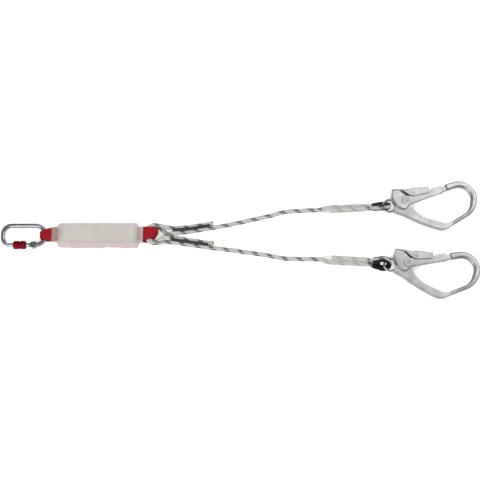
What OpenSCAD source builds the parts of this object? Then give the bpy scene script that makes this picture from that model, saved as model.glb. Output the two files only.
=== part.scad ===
// Twin-leg shock absorbing lanyard, lying on a table
// Screw-gate connector, absorber pack, two rope legs, two scaffold hooks
// Millimetres. Origin at the centre of the pack's underside, +X towards the hooks, +Z up.

/* [Absorber pack] */
// Length of the film cover between its end walls
pack_l = 190; // [170:1:196]
// Width of the cover's top face
pack_w = 46; // [45:1:60]
// Height of the cover
pack_h = 40; // [40:1:50]
// How far the front side leans out at the base
pack_lean = 6; // [0:0.5:10]
// Size of the cover's rounded edges
cover_edge = 3.5; // [2:0.5:4]
// Thickness of the film
film_t = 1.2; // [0.8:0.1:1.6]
// Width of the folded tear webbing inside
tear_w = 38; // [30:1:38]
// Number of layers in the tear webbing
tear_layers = 5; // [3:2:5]
// Number of layers in the back-up webbing
backup_layers = 4; // [2:2:4]
// Length of the label card
label_l = 172; // [60:1:180]
// Width of the label card
label_w = 39; // [20:1:40]
// Thickness of the label card
label_t = 0.4; // [0.2:0.1:0.5]

/* [Webbing loops] */
// Thickness of the webbing
webbing_t = 2.2; // [1.6:0.1:2.3]
// Width of the loop webbing
webbing_w = 35; // [28:0.5:38]
// Width of the harness loop where it holds the connector
harness_fold_w = 23.5; // [18:0.5:26]
// Thickness of the sewn thread patches
thread_t = 0.6; // [0.3:0.1:0.6]

/* [Connector] */
// Length over the bows
conn_l = 110; // [106:0.5:114]
// Width over the bars
conn_w = 57.5; // [54:0.5:64]
// Diameter of the bent bar
conn_bar_d = 10.5; // [10:0.1:11]
// Bend radius of the nose end, on the bar's centre line
conn_nose_r = 19; // [17:0.5:20]
// Diameter of the gate bar
conn_gate_d = 9; // [8:0.1:9.4]
// Diameter of the screw sleeve
sleeve_d = 20; // [18:0.5:22]
// Length of the screw sleeve
sleeve_l = 30; // [24:0.5:32]
// Travel of the screw sleeve over the nose
sleeve_travel = 11; // [8:0.5:11]
// Diameter of the gate's hinge pin
conn_pin_d = 4; // [3:0.1:5]

/* [Rope] */
// Diameter of the rope
rope_d = 10.8; // [10:0.1:11]
// Length along X of each leg's free rope, between its two sewn ends
leg_run = 252; // [200:1:900]
// Radius of the rope eye in the webbing, on the rope's centre line
rope_eye_r = 20; // [19.5:0.1:21]
// Radius of the rope round the thimble, on the rope's centre line
bight_r = 14.9; // [14.5:0.1:15.5]
// Tilt of the thimble's plane from level
bight_tilt = 60; // [50:1:70]
// Wall of the thimble
thimble_t = 1.6; // [1.2:0.1:1.8]
// Wall of the shrink sleeve
shrink_t = 0.8; // [0.5:0.1:1.2]

/* [Hooks] */
// Diameter of the eye hole
hook_eye_d = 24; // [24:0.1:25]
// Wall round the eye hole
hook_eye_wall = 5.2; // [4.5:0.1:5.4]
// Thickness of the eye
hook_eye_t = 7; // [6:0.5:7.5]
// Thickness of the bow and the arm
hook_t = 15; // [13.5:0.5:17]
// Thickness of the block that carries the gate
hook_block_t = 22; // [20:0.5:26]
// Radius inside the bow
bow_r = 27; // [25:0.5:28]
// Width of the bow's bar
bow_w = 16; // [14:0.5:17]
// Thickness of the hook gate
hook_gate_t = 12; // [10:0.5:12]
// Thickness of the gate's nose tongue
hook_tongue_t = 7; // [5:0.5:7.5]
// Diameter of the gate pin
hook_pin_d = 7; // [5:0.5:8]
// Diameter of the lever pin
lever_pin_d = 5; // [4:0.5:5.5]
// Sheet thickness of the lock lever
lever_t = 2.5; // [1.5:0.1:3]

/* [Hidden] */
$fn = 48;

// Colours
red_webbing = [0.72, 0.1, 0.15];
dark_red = [0.5, 0.08, 0.1];
film_colour = [0.86, 0.84, 0.85, 0.5];
thread_black = [0.1, 0.1, 0.11];
rope_white = [0.9, 0.9, 0.88];
shrink_white = [0.92, 0.92, 0.94, 0.6];
steel = [0.72, 0.73, 0.75];
alloy = [0.78, 0.79, 0.8];

// Clearances
seat_gap = 0.3;
pin_gap = 0.05;
slide_gap = 0.1;
through = 1;

// Legs: 0 is the upper one in the picture, 1 the lower one
UPPER = 0;
LOWER = 1;
leg_side = [1, -1];

// Webbing levels
ply_step = webbing_t + 0.5;
harness_z = 18;
fold_pitch = webbing_t + 0.8;
backup_z = film_t + seat_gap;
plies_half = (ply_step + webbing_t) / 2;
tear_z = harness_z + plies_half + thread_t + seat_gap;
leg_loop_z = tear_z - seat_gap - plies_half;
loop_tail = 28;
thread_rows = 5;
thread_row_step = 3.4;
thread_row_w = 2.4;
patch_l = (thread_rows - 1) * thread_row_step + thread_row_w;
neck_l = 9.5;
neck_w = 42;
harness_neck_half = plies_half + seat_gap + film_t;
leg_neck = [6, 28];

// Connector stations along X
conn_z = sleeve_d / 2;
bar_r = conn_bar_d / 2;
side_y = conn_w / 2 - bar_r;
conn_right = -pack_l / 2 - 22.5;
bow_x = conn_right - bar_r - side_y;
nose_end_x = conn_right - conn_l + bar_r;
nose_corner_x = nose_end_x + conn_nose_r;
hinge_x = bow_x - 4.75;
hinge_r = 7;
nose_x = nose_corner_x + 2.25;
nose_stub_r = conn_gate_d / 2 - 0.3;
sleeve_x = nose_x + 4.5;
gate_slot = 5.2;
gate_slot_back = 5.6;
hinge_lug_h = 14;
nose_relief = 0.5;
tongue_t = 2.6;
conn_wire = 0.8;

// Harness loop round the connector's bow, in the XZ plane
harness_turn = [conn_right - bar_r - 2.45, conn_z];
harness_turn_r = conn_z - 0.1 - webbing_t / 2;
harness_mouth_x = -pack_l / 2 - neck_l - 0.3;

// Leg loop and the rope eyes that it holds
rope_r = rope_d / 2;
eye_c = [pack_l / 2 + 39, 1.5];
lower_eye_z = 2 + webbing_t + seat_gap + rope_r + 0.1;
upper_eye_z = lower_eye_z + rope_d + 0.4;
leg_mouth_x = pack_l / 2 + 2.5;
leg_open_x = eye_c[0] - 22;
leg_fold_x = eye_c[0] + 6;
leg_fold_r = 5;
leg_top_z = upper_eye_z + rope_r + 0.4 + webbing_t / 2;
leg_base_z = lower_eye_z - rope_r - 0.4 - webbing_t / 2;
leg_fold_half = 11.8;
leg_shoulder_half = 13.8;

// Ropes: ends of each sewn pair, and the free run as shares of its length and places across
pair_step = rope_d + 0.1;
eye_x = eye_c[0];
pair_start = [[eye_x + 39, 3.2], [eye_x + 35, -15]];
pair_end = [[eye_x + 130, 19], [eye_x + 128, -28.5]];
pair_stations = [1, 0.85, 0.7, 0.55, 0.45, 0.35, 0.25];
tail_over = 8;
eye_level = [upper_eye_z, lower_eye_z];
slope_start = [eye_x + 26, eye_x + 11];
slope_end = [eye_x + 86, eye_x + 51];
run_end_x = pair_end[UPPER][0] + leg_run;
free_run = [
    [[0, 19], [0.1, 23.5], [0.2, 28.7], [0.3, 34.2], [0.4, 40], [0.5, 46], [0.58, 51], [0.635, 55.2],
     [0.68, 58.2], [0.73, 60], [0.82, 61.4], [0.91, 62.7], [1, 63.5]],
    [[0, -28.5], [0.1, -31.8], [0.2, -35], [0.3, -38.7], [0.39, -42], [0.48, -45.3],
     [0.56, -48.8], [0.62, -51.9], [0.67, -54.3], [0.72, -55.4], [0.81, -55.9], [0.9, -56.3], [1, -56.8]]
];

// Hook ends of the ropes: pair centre behind the free run and gap between the strands
pair_open = 2.2;
hook_pair = [
    [[0, 63.5, 0], [8, 63.7, pair_open], [29, 64.3, pair_step], [72, 66.5, pair_step],
     [114, 68.4, pair_step]],
    [[0, -56.8, 0], [8, -57.3, pair_open], [29, -59.4, pair_step], [72, -62, pair_step],
     [112, -64.6, pair_step]]
];

// Eye of each hook, and the headings of thimble and hook
hook_eye = [[run_end_x + 168, 70], [run_end_x + 164.5, -73]];
bight_heading = [2.5, -9];
hook_yaw = [0, -10.4];
thimble_tip_x = -40;
thimble_tip_gap = 15.6;
bight_c_x = -1.8 - bight_r;
hook_eye_z = rope_r + bight_r * sin(bight_tilt);
shrink_gap = 0.35;
shrink_lift = shrink_gap + shrink_t;
strand_sides = 12;

// Hook outlines in the hook's own plane, origin at the eye's centre, bow towards +X
bow_c = [166.5, 20.5];
bow_from = -25;
gate_pin = [40, 12];
lever_pin = [57, 31];
gate_angle = 18.7;
gate_open = 38;
hook_reach = bow_c[0] + bow_r + bow_w;
hook_droop = asin((hook_eye_z - hook_t / 2) / hook_reach);
hook_eye_r = hook_eye_d / 2;
hub_r = 11;
nose_face_r = 102;
tongue_end_r = 107.5;
gate_end_r = 92;
gate_slot_t = hook_gate_t + 2 * seat_gap;
lever_half = gate_slot_t / 2 + lever_t;
hook_arm_t = hook_t - 0.6;
hook_bar_t = hook_t - 0.3;
hook_boss_t = hook_block_t + 0.8;
gate_hub_t = hook_gate_t + seat_gap;
lever_boss_d = 16;
lever_boss_t = 2 * lever_half + 0.4;
gate_spring_pocket = [15, 6];
lever_spring_pocket = [10.6, 5];
arm_outline = [
    [6, -15], [20, -20], [38, -26.5], [48, -32.5], [67, -40.5], [86, -48], [106, -54.8], [120, -58.3],
    [129, -57.3], [138, -53.6], [147, -46.4], [146, -37], [139, -40.3], [130, -43], [114, -38.5],
    [98, -33.8], [79, -28], [67, -20], [58, -11], [52.5, -3], [50.5, 4.7], [40, 6], [10, 2]
];
block_outline = [
    [16.5, -5], [34, -12], [46, 0], [48, 12], [42, 23], [31, 23], [25, 36], [4.7, 36], [4.7, 17]
];

// Bars of the hook: stations of place and width
bar_chamfer = 4;
nose_line = [[93, 1.9, 17.4], [106, 2.1, 17], [118, 2.4, 16], [124, 2.3, 15.6]];
heel_line = [
    [200, 9, 15], [197, -1, 14], [192.3, -9.3, 12.5], [185, -17.2, 10.5], [172.7, -25, 10],
    [156.5, -35.2, 10], [136, -48.8, 9]
];

// Outlines of the gate and its tongue, along the gate, and of the lock lever
gate_outline = [
    [0, -10.3], [30, -9.3], [60, -7.9], [94, -7.4], [98, 10.5], [75, 10.5], [66, 8.8], [59, 5.5],
    [34, 5.5], [24, 8], [8, 10], [0, 11]
];
tongue_outline = [[85, -6], [115, -5.2], [115, 6], [85, 6]];
lever_cheek = [
    [6, 36.7], [31, 36.7], [40, 30], [50, 24.5], [57, 23], [64, 24.5], [80, 28.5], [95, 31.7],
    [94, 46.5], [50.5, 43.5], [48, 40.7], [6, 39.2]
];
lever_ridge = [[6, 39.2], [48, 40.7], [50.5, 43.5], [94, 46.5]];
gate_root = [24, -10.8, 20];
ear_r = 7.5;
hook_wire = 1.1;
lever_wire = 0.9;

// Points and curves
function unit(v) = v / norm(v);
function mix(a, b, t) = a + (b - a) * t;
function ease(t) = let (u = min(max(t, 0), 1)) u * u * (3 - 2 * u);
function flip(list) = [for (i = [len(list) - 1:-1:0]) list[i]];
function polar(c, r, a) = [c[0] + r * cos(a), c[1] + r * sin(a)];
function arc(c, r, a0, a1, n) = [for (i = [0:n]) polar(c, r, mix(a0, a1, i / n))];
function heading(v) = atan2(v[1], v[0]);
function round_section(r, n) = [for (i = [0:n - 1]) polar([0, 0], r, i * 360 / n)];
function slide_along(path, i) = unit(path[min(i + 1, len(path) - 1)] - path[max(i - 1, 0)]);

// Angle at which a line from p touches the circle at c, on the side given by turn
function touch(p, c, r, turn) = heading(p - c) + turn * acos(r / norm(p - c));

// Curve in place of the corner at p, between a and b
function corner(a, p, b, r, n) =
    let (s = p + unit(a - p) * min(r, norm(a - p) / 2.2),
         e = p + unit(b - p) * min(r, norm(b - p) / 2.2))
    [for (k = [0:n]) let (t = k / n) s * (1 - t) * (1 - t) + p * 2 * t * (1 - t) + e * t * t];
function rounded(pts, r, n = 3) =
    let (m = len(pts))
    [for (i = [0:m - 1]) each corner(pts[(i + m - 1) % m], pts[i], pts[(i + 1) % m], r, n)];

// Outline of a strip of thickness t along a path in its plane
function strip(path, t) =
    let (nrm = [for (i = [0:len(path) - 1]) let (d = slide_along(path, i)) [-d[1], d[0]]],
         one = [for (i = [0:len(path) - 1]) path[i] + nrm[i] * t / 2],
         two = [for (i = [0:len(path) - 1]) path[i] - nrm[i] * t / 2])
    concat(one, flip(two));

// Solid swept along a path: sections in the plane of the two directions across it, one for each point
module lofted(path, sections, up) {
    n = len(sections[0]);
    m = len(path);
    pts = [
        for (i = [0:m - 1])
            let (t = slide_along(path, i), s = unit(cross(t, up)), b = cross(s, t))
            for (q = sections[i]) path[i] + s * q[0] + b * q[1]
    ];
    sides = [
        for (i = [0:m - 2], j = [0:n - 1])
            let (a = i * n + j, b = i * n + (j + 1) % n)
            each [[a, b, b + n], [a, b + n, a + n]]
    ];
    first = [[for (j = [0:n - 1]) n - 1 - j]];
    last = [[for (j = [0:n - 1]) (m - 1) * n + j]];
    polyhedron(pts, concat(first, sides, last));
}

// The same with one section all along
module swept(path, section, up) {
    lofted(path, [for (p = path) section], up);
}

// Open-ended sleeve along a path, between two sections with as many points at each station
module lofted_sleeve(path, outer, inner, up) {
    n = len(outer[0]);
    m = len(path);
    pts = [
        for (i = [0:m - 1])
            let (t = slide_along(path, i), s = unit(cross(t, up)), b = cross(s, t))
            for (q = concat(outer[i], inner[i])) path[i] + s * q[0] + b * q[1]
    ];
    walls = [
        for (i = [0:m - 2], j = [0:n - 1])
            let (a = 2 * i * n + j, b = 2 * i * n + (j + 1) % n, up_ring = 2 * n)
            each [
                [a, b, b + up_ring], [a, b + up_ring, a + up_ring],
                [b + n, a + n, a + n + up_ring], [b + n, a + n + up_ring, b + n + up_ring]
            ]
    ];
    ends = [
        for (j = [0:n - 1])
            let (k = (j + 1) % n, z = 2 * (m - 1) * n)
            each [
                [k, j, j + n], [k, j + n, k + n],
                [z + j, z + k, z + k + n], [z + j, z + k + n, z + j + n]
            ]
    ];
    polyhedron(pts, concat(walls, ends));
}

// Torsion spring of round wire about Z, centred on the origin
module torsion_spring(r, wire, turns) {
    steps = 10;
    path = [
        for (i = [0:turns * steps])
            let (a = i * 360 / steps, z = (i / (turns * steps) - 0.5) * turns * (wire + 0.25))
            [r * cos(a), r * sin(a), z]
    ];
    swept(path, round_section(wire / 2, 6), [0, 0, 1]);
}

// Sheet with its outline in the XZ plane, from y0 to y1
module side_sheet(outline, y0, y1) {
    translate([0, y1, 0])
        rotate([90, 0, 0])
            linear_extrude(y1 - y0)
                polygon(outline);
}

// Plate of an outline, centred on the plane z = 0
module plate(outline, t) {
    linear_extrude(t, center = true)
        polygon(outline);
}

module pin_hole(p, d, l) {
    translate([p[0], p[1], 0])
        cylinder(d = d, h = l, center = true);
}

// Absorber pack

function cover_section(inset) = rounded([
    [-pack_w / 2 - pack_lean + inset, inset], [pack_w / 2 - inset, inset],
    [pack_w / 2 - inset, pack_h - inset], [-pack_w / 2 + inset, pack_h - inset]
], cover_edge - inset);

module cover_tube(inset, l) {
    rotate([90, 0, 90])
        linear_extrude(l, center = true)
            polygon(cover_section(inset));
}

// Flat tube where the film is gathered round a loop, from the end wall outwards
module neck(side, z0, z1, inset, extra) {
    x = side * (pack_l / 2 + (neck_l - film_t) / 2);
    l = neck_l + film_t + 2 * extra;
    translate([x - l / 2, -neck_w / 2 + inset, z0 + inset])
        cube([l, neck_w - 2 * inset, z1 - z0 - 2 * inset]);
}

module absorber_cover() {
    harness_neck = [harness_z - harness_neck_half, harness_z + harness_neck_half];
    color(film_colour)
        difference() {
            union() {
                cover_tube(0, pack_l);
                neck(-1, harness_neck[0], harness_neck[1], 0, 0);
                neck(1, leg_neck[0], leg_neck[1], 0, 0);
            }
            cover_tube(film_t, pack_l - 2 * film_t);
            neck(-1, harness_neck[0], harness_neck[1], film_t, through);
            neck(1, leg_neck[0], leg_neck[1], film_t, through);
        }
}

// Zigzag of layers from z0 up, folded at both ends
function zigzag(l, z0, layers) =
    let (x = l / 2 - fold_pitch, z = z0 + webbing_t / 2, side = layers % 2 == 0 ? -1 : 1)
    concat(
        [[-x, z]],
        [
            for (i = [0:layers - 2])
                let (s = i % 2 == 0 ? 1 : -1)
                each arc([s * x, z + (i + 0.5) * fold_pitch], fold_pitch / 2, -90, s * 180 - 90, 6)
        ],
        [[side * x, z + (layers - 1) * fold_pitch]]
    );

module folded_webbing(z0, layers) {
    inner_l = pack_l - 2 * film_t - 4;
    color(red_webbing)
        side_sheet(strip(zigzag(inner_l, z0, layers), webbing_t), -tear_w / 2, tear_w / 2);
}

module tear_webbing() {
    folded_webbing(tear_z, tear_layers);
}

module backup_webbing() {
    folded_webbing(backup_z, backup_layers);
}

module label_card() {
    color("gainsboro")
        translate([-label_l / 2, -label_w / 2, tear_z + (tear_layers - 1) * fold_pitch + webbing_t + 0.1])
            cube([label_l, label_w, label_t]);
}

// Webbing loops

// Plan of a loop that narrows along X
module loop_plan(outline) {
    translate([0, 0, -through])
        linear_extrude(pack_h + 2 * through)
            polygon(outline);
}

function harness_path() =
    let (tail = harness_mouth_x + loop_tail,
         top = [harness_mouth_x, harness_z + ply_step / 2],
         base = [harness_mouth_x, harness_z - ply_step / 2],
         a0 = touch(top, harness_turn, harness_turn_r, 1),
         a1 = touch(base, harness_turn, harness_turn_r, -1) + 360)
    concat([[tail, top[1]], top], arc(harness_turn, harness_turn_r, a0, a1, 20), [base, [tail, base[1]]]);

module harness_loop() {
    fold_x = harness_turn[0] - harness_turn_r - webbing_t;
    wide_x = conn_right + 4;
    far_x = harness_mouth_x + loop_tail + through;
    h = webbing_w / 2;
    f = harness_fold_w / 2;
    color(red_webbing)
        intersection() {
            side_sheet(strip(harness_path(), webbing_t), -h, h);
            loop_plan([[fold_x, -f], [harness_turn[0], -f], [wide_x, -h + 1.5], [wide_x + 8, -h],
                       [far_x, -h], [far_x, h],
                       [wide_x + 8, h], [wide_x, h - 1.5], [harness_turn[0], f], [fold_x, f]]);
        }
}

function leg_loop_path() =
    let (tail = leg_mouth_x - loop_tail,
         top_in = leg_loop_z + ply_step / 2,
         base_in = leg_loop_z - ply_step / 2,
         c = leg_fold_x - leg_fold_r)
    concat(
        [[tail, base_in], [leg_mouth_x, base_in], [leg_open_x, leg_base_z]],
        arc([c, leg_base_z + leg_fold_r], leg_fold_r, -90, 0, 5),
        arc([c, leg_top_z - leg_fold_r], leg_fold_r, 0, 90, 5),
        [[leg_open_x, leg_top_z], [leg_mouth_x, top_in], [tail, top_in]]
    );

module leg_loop() {
    near_x = leg_mouth_x - loop_tail - through;
    far_x = leg_fold_x + webbing_t;
    h = webbing_w / 2;
    y = eye_c[1];
    color(red_webbing)
        intersection() {
            side_sheet(strip(leg_loop_path(), webbing_t), -h - y, h + y);
            loop_plan([[near_x, -h], [leg_open_x, -h],
                       [eye_c[0], y - leg_shoulder_half], [far_x, y - leg_fold_half],
                       [far_x, y + leg_fold_half], [eye_c[0], y + leg_shoulder_half],
                       [leg_open_x, h], [near_x, h]]);
        }
}

// Rows of thread across the two plies of a loop's tail, on its outer face
module thread_patch(x0, z) {
    patch_w = webbing_w - 8;
    for (i = [0:thread_rows - 1])
        translate([x0 + i * thread_row_step, -patch_w / 2, z])
            cube([thread_row_w, patch_w, thread_t]);
}

module harness_loop_stitching() {
    color(thread_black)
        thread_patch(harness_mouth_x + loop_tail - patch_l, harness_z + plies_half);
}

module leg_loop_stitching() {
    color(thread_black)
        thread_patch(leg_mouth_x - loop_tail + 1, leg_loop_z - plies_half - thread_t);
}

// Connector

module bar_x(x0, x1, y, d) {
    translate([min(x0, x1), y, 0])
        rotate([0, 90, 0])
            cylinder(d = d, h = abs(x1 - x0));
}

module bent_bar(c, r, a0, sweep) {
    translate([c[0], c[1], 0])
        rotate([0, 0, a0])
            rotate_extrude(angle = sweep)
                translate([r, 0])
                    circle(d = conn_bar_d);
}

module connector_frame() {
    straight = side_y - conn_nose_r;
    stub_end = nose_x - sleeve_travel - nose_relief;
    color(steel)
        translate([0, 0, conn_z])
            difference() {
                union() {
                    bent_bar([bow_x, 0], side_y, -90, 180);
                    bar_x(nose_corner_x, bow_x, side_y, conn_bar_d);
                    bent_bar([nose_corner_x, straight], conn_nose_r, 90, 90);
                    translate([nose_end_x, -straight, 0])
                        rotate([-90, 0, 0])
                            cylinder(d = conn_bar_d, h = 2 * straight);
                    bent_bar([nose_corner_x, -straight], conn_nose_r, 180, 90);
                    bar_x(nose_corner_x, nose_x, -side_y, conn_bar_d);
                    translate([hinge_x, -side_y, 0])
                        cylinder(r = hinge_r, h = hinge_lug_h, center = true);
                    translate([hinge_x, -side_y - hinge_r, -hinge_lug_h / 2])
                        cube([bow_x - hinge_x + 3, 2 * hinge_r, hinge_lug_h]);
                }
                // Nose turned down so that the sleeve passes over it
                difference() {
                    bar_x(stub_end, nose_x + through, -side_y, 3 * conn_bar_d);
                    bar_x(stub_end - through, nose_x + 2 * through, -side_y, 2 * nose_stub_r);
                }
                // Slot for the gate's tongue
                translate([hinge_x - 2 * hinge_r, -side_y - 2 * hinge_r, -gate_slot / 2])
                    cube([2 * hinge_r + gate_slot_back, 4 * hinge_r, gate_slot]);
                translate([hinge_x, -side_y, 0])
                    cylinder(d = conn_pin_d + 2 * pin_gap, h = hinge_lug_h + 2 * through, center = true);
            }
}

module connector_gate() {
    root = hinge_x - hinge_r - 0.8;
    tongue_w = conn_gate_d - 1;
    color(steel)
        translate([0, 0, conn_z])
            difference() {
                union() {
                    bar_x(nose_x + 0.4, root, -side_y, conn_gate_d);
                    translate([0, 0, -gate_slot / 2 + seat_gap]) {
                        translate([hinge_x, -side_y, 0])
                            cylinder(d = tongue_w, h = tongue_t);
                        translate([root - 2, -side_y - tongue_w / 2, 0])
                            cube([hinge_x - root + 2, tongue_w, tongue_t]);
                    }
                }
                translate([hinge_x, -side_y, 0])
                    cylinder(d = conn_pin_d + 2 * pin_gap, h = 3 * gate_slot, center = true);
            }
}

module connector_screw_sleeve() {
    flutes = 14;
    r = sleeve_d / 2;
    waist = sleeve_l / 2;
    color(dark_red)
        translate([sleeve_x, -side_y, conn_z])
            rotate([0, 90, 0])
                difference() {
                    rotate_extrude()
                        polygon([[conn_gate_d / 2 + slide_gap, 0], [r - 2, 0], [r, 2], [r, waist - 2.2],
                                 [r - 1.4, waist - 1], [r - 1.4, waist + 1], [r, waist + 2.2],
                                  [r, sleeve_l - 3],
                                 [r - 3, sleeve_l], [conn_gate_d / 2 + slide_gap, sleeve_l]]);
                    for (i = [0:flutes - 1])
                        rotate([0, 0, i * 360 / flutes])
                            translate([r + 0.8, 0, -through])
                                cylinder(r = 1.4, h = sleeve_l + 2 * through);
                }
}

module connector_gate_pin() {
    color(steel)
        translate([hinge_x, -side_y, conn_z])
            cylinder(d = conn_pin_d, h = hinge_lug_h + 2 * seat_gap, center = true);
}

module connector_gate_spring() {
    turns = 2;
    free = gate_slot - 2 * seat_gap - tongue_t;
    color(steel)
        translate([hinge_x, -side_y, conn_z + gate_slot / 2 - free / 2])
            torsion_spring(conn_pin_d / 2 + conn_wire / 2 + 0.4, conn_wire - 0.1, turns * 0.75);
}

// Rope legs

function eye_height(leg, x) =
    mix(eye_level[leg], rope_r, ease((x - slope_start[leg]) / (slope_end[leg] - slope_start[leg])));
function raise(leg, p) = [p[0], p[1], eye_height(leg, p[0])];
function pair_normal(leg) = let (d = unit(pair_end[leg] - pair_start[leg])) [-d[1], d[0]];
function pair_at(leg, t, off) = mix(pair_start[leg], pair_end[leg], t) + pair_normal(leg) * off;

// Rope from the free run, round the eye and back along itself to the tail's end
function eye_path(leg) =
    let (p = pair_start[leg],
         q = pair_at(leg, 0, pair_step),
         a0 = touch(p, eye_c, rope_eye_r, -1),
         a1 = touch(q, eye_c, rope_eye_r, 1),
         tail_t = 1 + tail_over / norm(pair_end[leg] - pair_start[leg]),
         turn = arc(eye_c, rope_eye_r, a0, a1 - 360, 16),
         flat = concat(
             [for (t = pair_stations) pair_at(leg, t, 0)],
             corner(pair_at(leg, 0.25, 0), p, turn[0], 14, 4),
             turn,
             corner(turn[16], q, pair_at(leg, 0.25, pair_step), 14, 4),
             [for (t = concat(flip(pair_stations), [tail_t])) pair_at(leg, t, pair_step)]))
    [for (v = flat) raise(leg, v)];

module rope(path, up) {
    color(rope_white)
        swept(path, round_section(rope_r, strand_sides), up);
}

module leg_eye(leg) {
    rope(eye_path(leg), [0, 0, 1]);
}

module leg_rope(leg) {
    start_x = pair_end[leg][0];
    rope([for (p = free_run[leg]) [mix(start_x, run_end_x, p[0]), p[1], rope_r]], [0, 0, 1]);
}

// Strip of thread over the groove between the two strands
module leg_stitching(leg) {
    w = 7;
    t = 0.8;
    lift = rope_r + 0.2;
    path = [
        for (t = concat([0.08, 0.16], flip(pair_stations)))
            let (p = pair_at(leg, min(t, 0.96), pair_step / 2))
            raise(leg, p) + [0, 0, lift]
    ];
    color(thread_black)
        swept(path, [[-w / 2, 0], [w / 2, 0], [w / 2, t], [-w / 2, t]], [0, 0, 1]);
}

// Directions in the thimble's plane: along the rope, up across the plane, and square to it
function along(leg) = [cos(bight_heading[leg]), sin(bight_heading[leg]), 0];
function across(leg) =
    let (c = -leg_side[leg] * cos(bight_tilt))
    [-c * sin(bight_heading[leg]), c * cos(bight_heading[leg]), sin(bight_tilt)];
function square_to(leg) = cross(along(leg), across(leg));
function pair_height(gap) = rope_r + shrink_lift * min(gap / pair_open, 1) + sin(bight_tilt) * gap / 2;
function pair_centre(s) = [run_end_x + s[0], s[1], pair_height(s[2])];
function strand(leg, s, side) = pair_centre(s) + across(leg) * side * s[2] / 2;
function bight_point(leg, u, v) =
    [hook_eye[leg][0], hook_eye[leg][1], hook_eye_z] + along(leg) * u + across(leg) * v;

// Rope round the thimble, from one tip of the thimble to the other
function bight_turn(leg) =
    let (tip = [thimble_tip_x, -thimble_tip_gap / 2],
         drop = hook_eye_z - pair_height(thimble_tip_gap),
         c = [bight_c_x, 0],
         a = touch(tip, c, bight_r, 1),
         turn = arc(c, bight_r, a, -a, 16))
    concat(
        [bight_point(leg, tip[0], tip[1]) - [0, 0, drop]],
        [for (v = turn) bight_point(leg, v[0], v[1])],
        [bight_point(leg, tip[0], -tip[1]) - [0, 0, drop]]
    );

function bight_path(leg) =
    let (last = len(hook_pair[leg]) - 1)
    concat(
        [for (s = hook_pair[leg]) strand(leg, s, -1)],
        bight_turn(leg),
        [for (i = [last:-1:2]) strand(leg, hook_pair[leg][i], 1)]
    );

module leg_hook_bight(leg) {
    rope(bight_path(leg), square_to(leg));
}

// Stations of the doubled rope from the given one on, and their middle line
function pair_part(leg, first) = [for (i = [first:len(hook_pair[leg]) - 1]) hook_pair[leg][i]];
function pair_path(leg, first) = [for (s = pair_part(leg, first)) pair_centre(s)];

module leg_hook_stitching(leg) {
    w = 4.4;
    s = -leg_side[leg] * (rope_r - 0.55);
    t = 0.4;
    section = [[s - t, -w / 2], [s + t, -w / 2], [s + t, w / 2], [s - t, w / 2]];
    color(thread_black)
        swept(pair_path(leg, 2), section, across(leg));
}

// Section of two round strands held in one skin
function pair_section(r, gap) =
    concat(arc([0, gap / 2], r, 0, 180, 8), arc([0, -gap / 2], r, 180, 360, 8));

module leg_shrink_sleeve(leg) {
    inside = rope_r + shrink_gap;
    stations = pair_part(leg, 1);
    color(shrink_white)
        lofted_sleeve(
            pair_path(leg, 1),
            [for (s = stations) pair_section(inside + shrink_t, s[2])],
            [for (s = stations) pair_section(inside, s[2])],
            across(leg)
        );
}

module leg_thimble(leg) {
    reach = 105;
    inside = rope_r + 0.15;
    section = concat(
        arc([0, 0], inside + thimble_t, 180 - reach, 180 + reach, 11),
        flip(arc([0, 0], inside, 180 - reach, 180 + reach, 11))
    );
    color("black")
        swept(bight_turn(leg), section, square_to(leg));
}

// Scaffold hooks

module placed_hook(leg) {
    translate([hook_eye[leg][0], hook_eye[leg][1], hook_eye_z])
        rotate([0, 0, hook_yaw[leg]])
            rotate([0, hook_droop, 0])
                children();
}

// Frame of the gate: origin on its pin, first axis along the gate
module on_gate() {
    translate([gate_pin[0], gate_pin[1], 0])
        rotate([0, 0, gate_angle])
            children();
}

// Bar section with broken edges
function bar_section(w, t) =
    let (a = w / 2, h = t / 2, c = min(bar_chamfer, a - 1.5))
    [[-a, c - h], [c - a, -h], [a - c, -h], [a, c - h], [a, h - c], [a - c, h], [c - a, h], [-a, h - c]];

module hook_bow() {
    translate([bow_c[0], bow_c[1], 0])
        rotate([0, 0, bow_from])
            rotate_extrude(angle = 90 + gate_angle - bow_from)
                translate([bow_r + bow_w / 2, 0])
                    polygon(bar_section(bow_w, hook_t));
}

// Bar of the hook along stations of place and width
module hook_bar(line) {
    lofted([for (p = line) [p[0], p[1], 0]], [for (p = line) bar_section(p[2], hook_bar_t)], [0, 0, 1]);
}

module hook_eye_ring() {
    o = hook_eye_r + hook_eye_wall;
    c = 2;
    h = hook_eye_t / 2;
    rotate_extrude()
        polygon([[hook_eye_r - 1, -h], [o - c, -h], [o, c - h],
                 [o, h - c], [o - c, h], [hook_eye_r - 1, h]]);
}

// Area that the gate's root sweeps round its pin, in the gate's frame
function gate_slot_outline() =
    let (x = gate_root[0], low = [x, gate_root[1]], top = [x, gate_root[2]], back = hub_r + 0.5)
    concat(
        [[0, gate_root[2]]],
        arc([0, 0], norm(top), heading(top), heading(top) - gate_open, 4),
        [polar([0, 0], norm(low), heading(low) - gate_open)],
        arc([0, 0], back, -90 - gate_open, -270, 8)
    );

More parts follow.
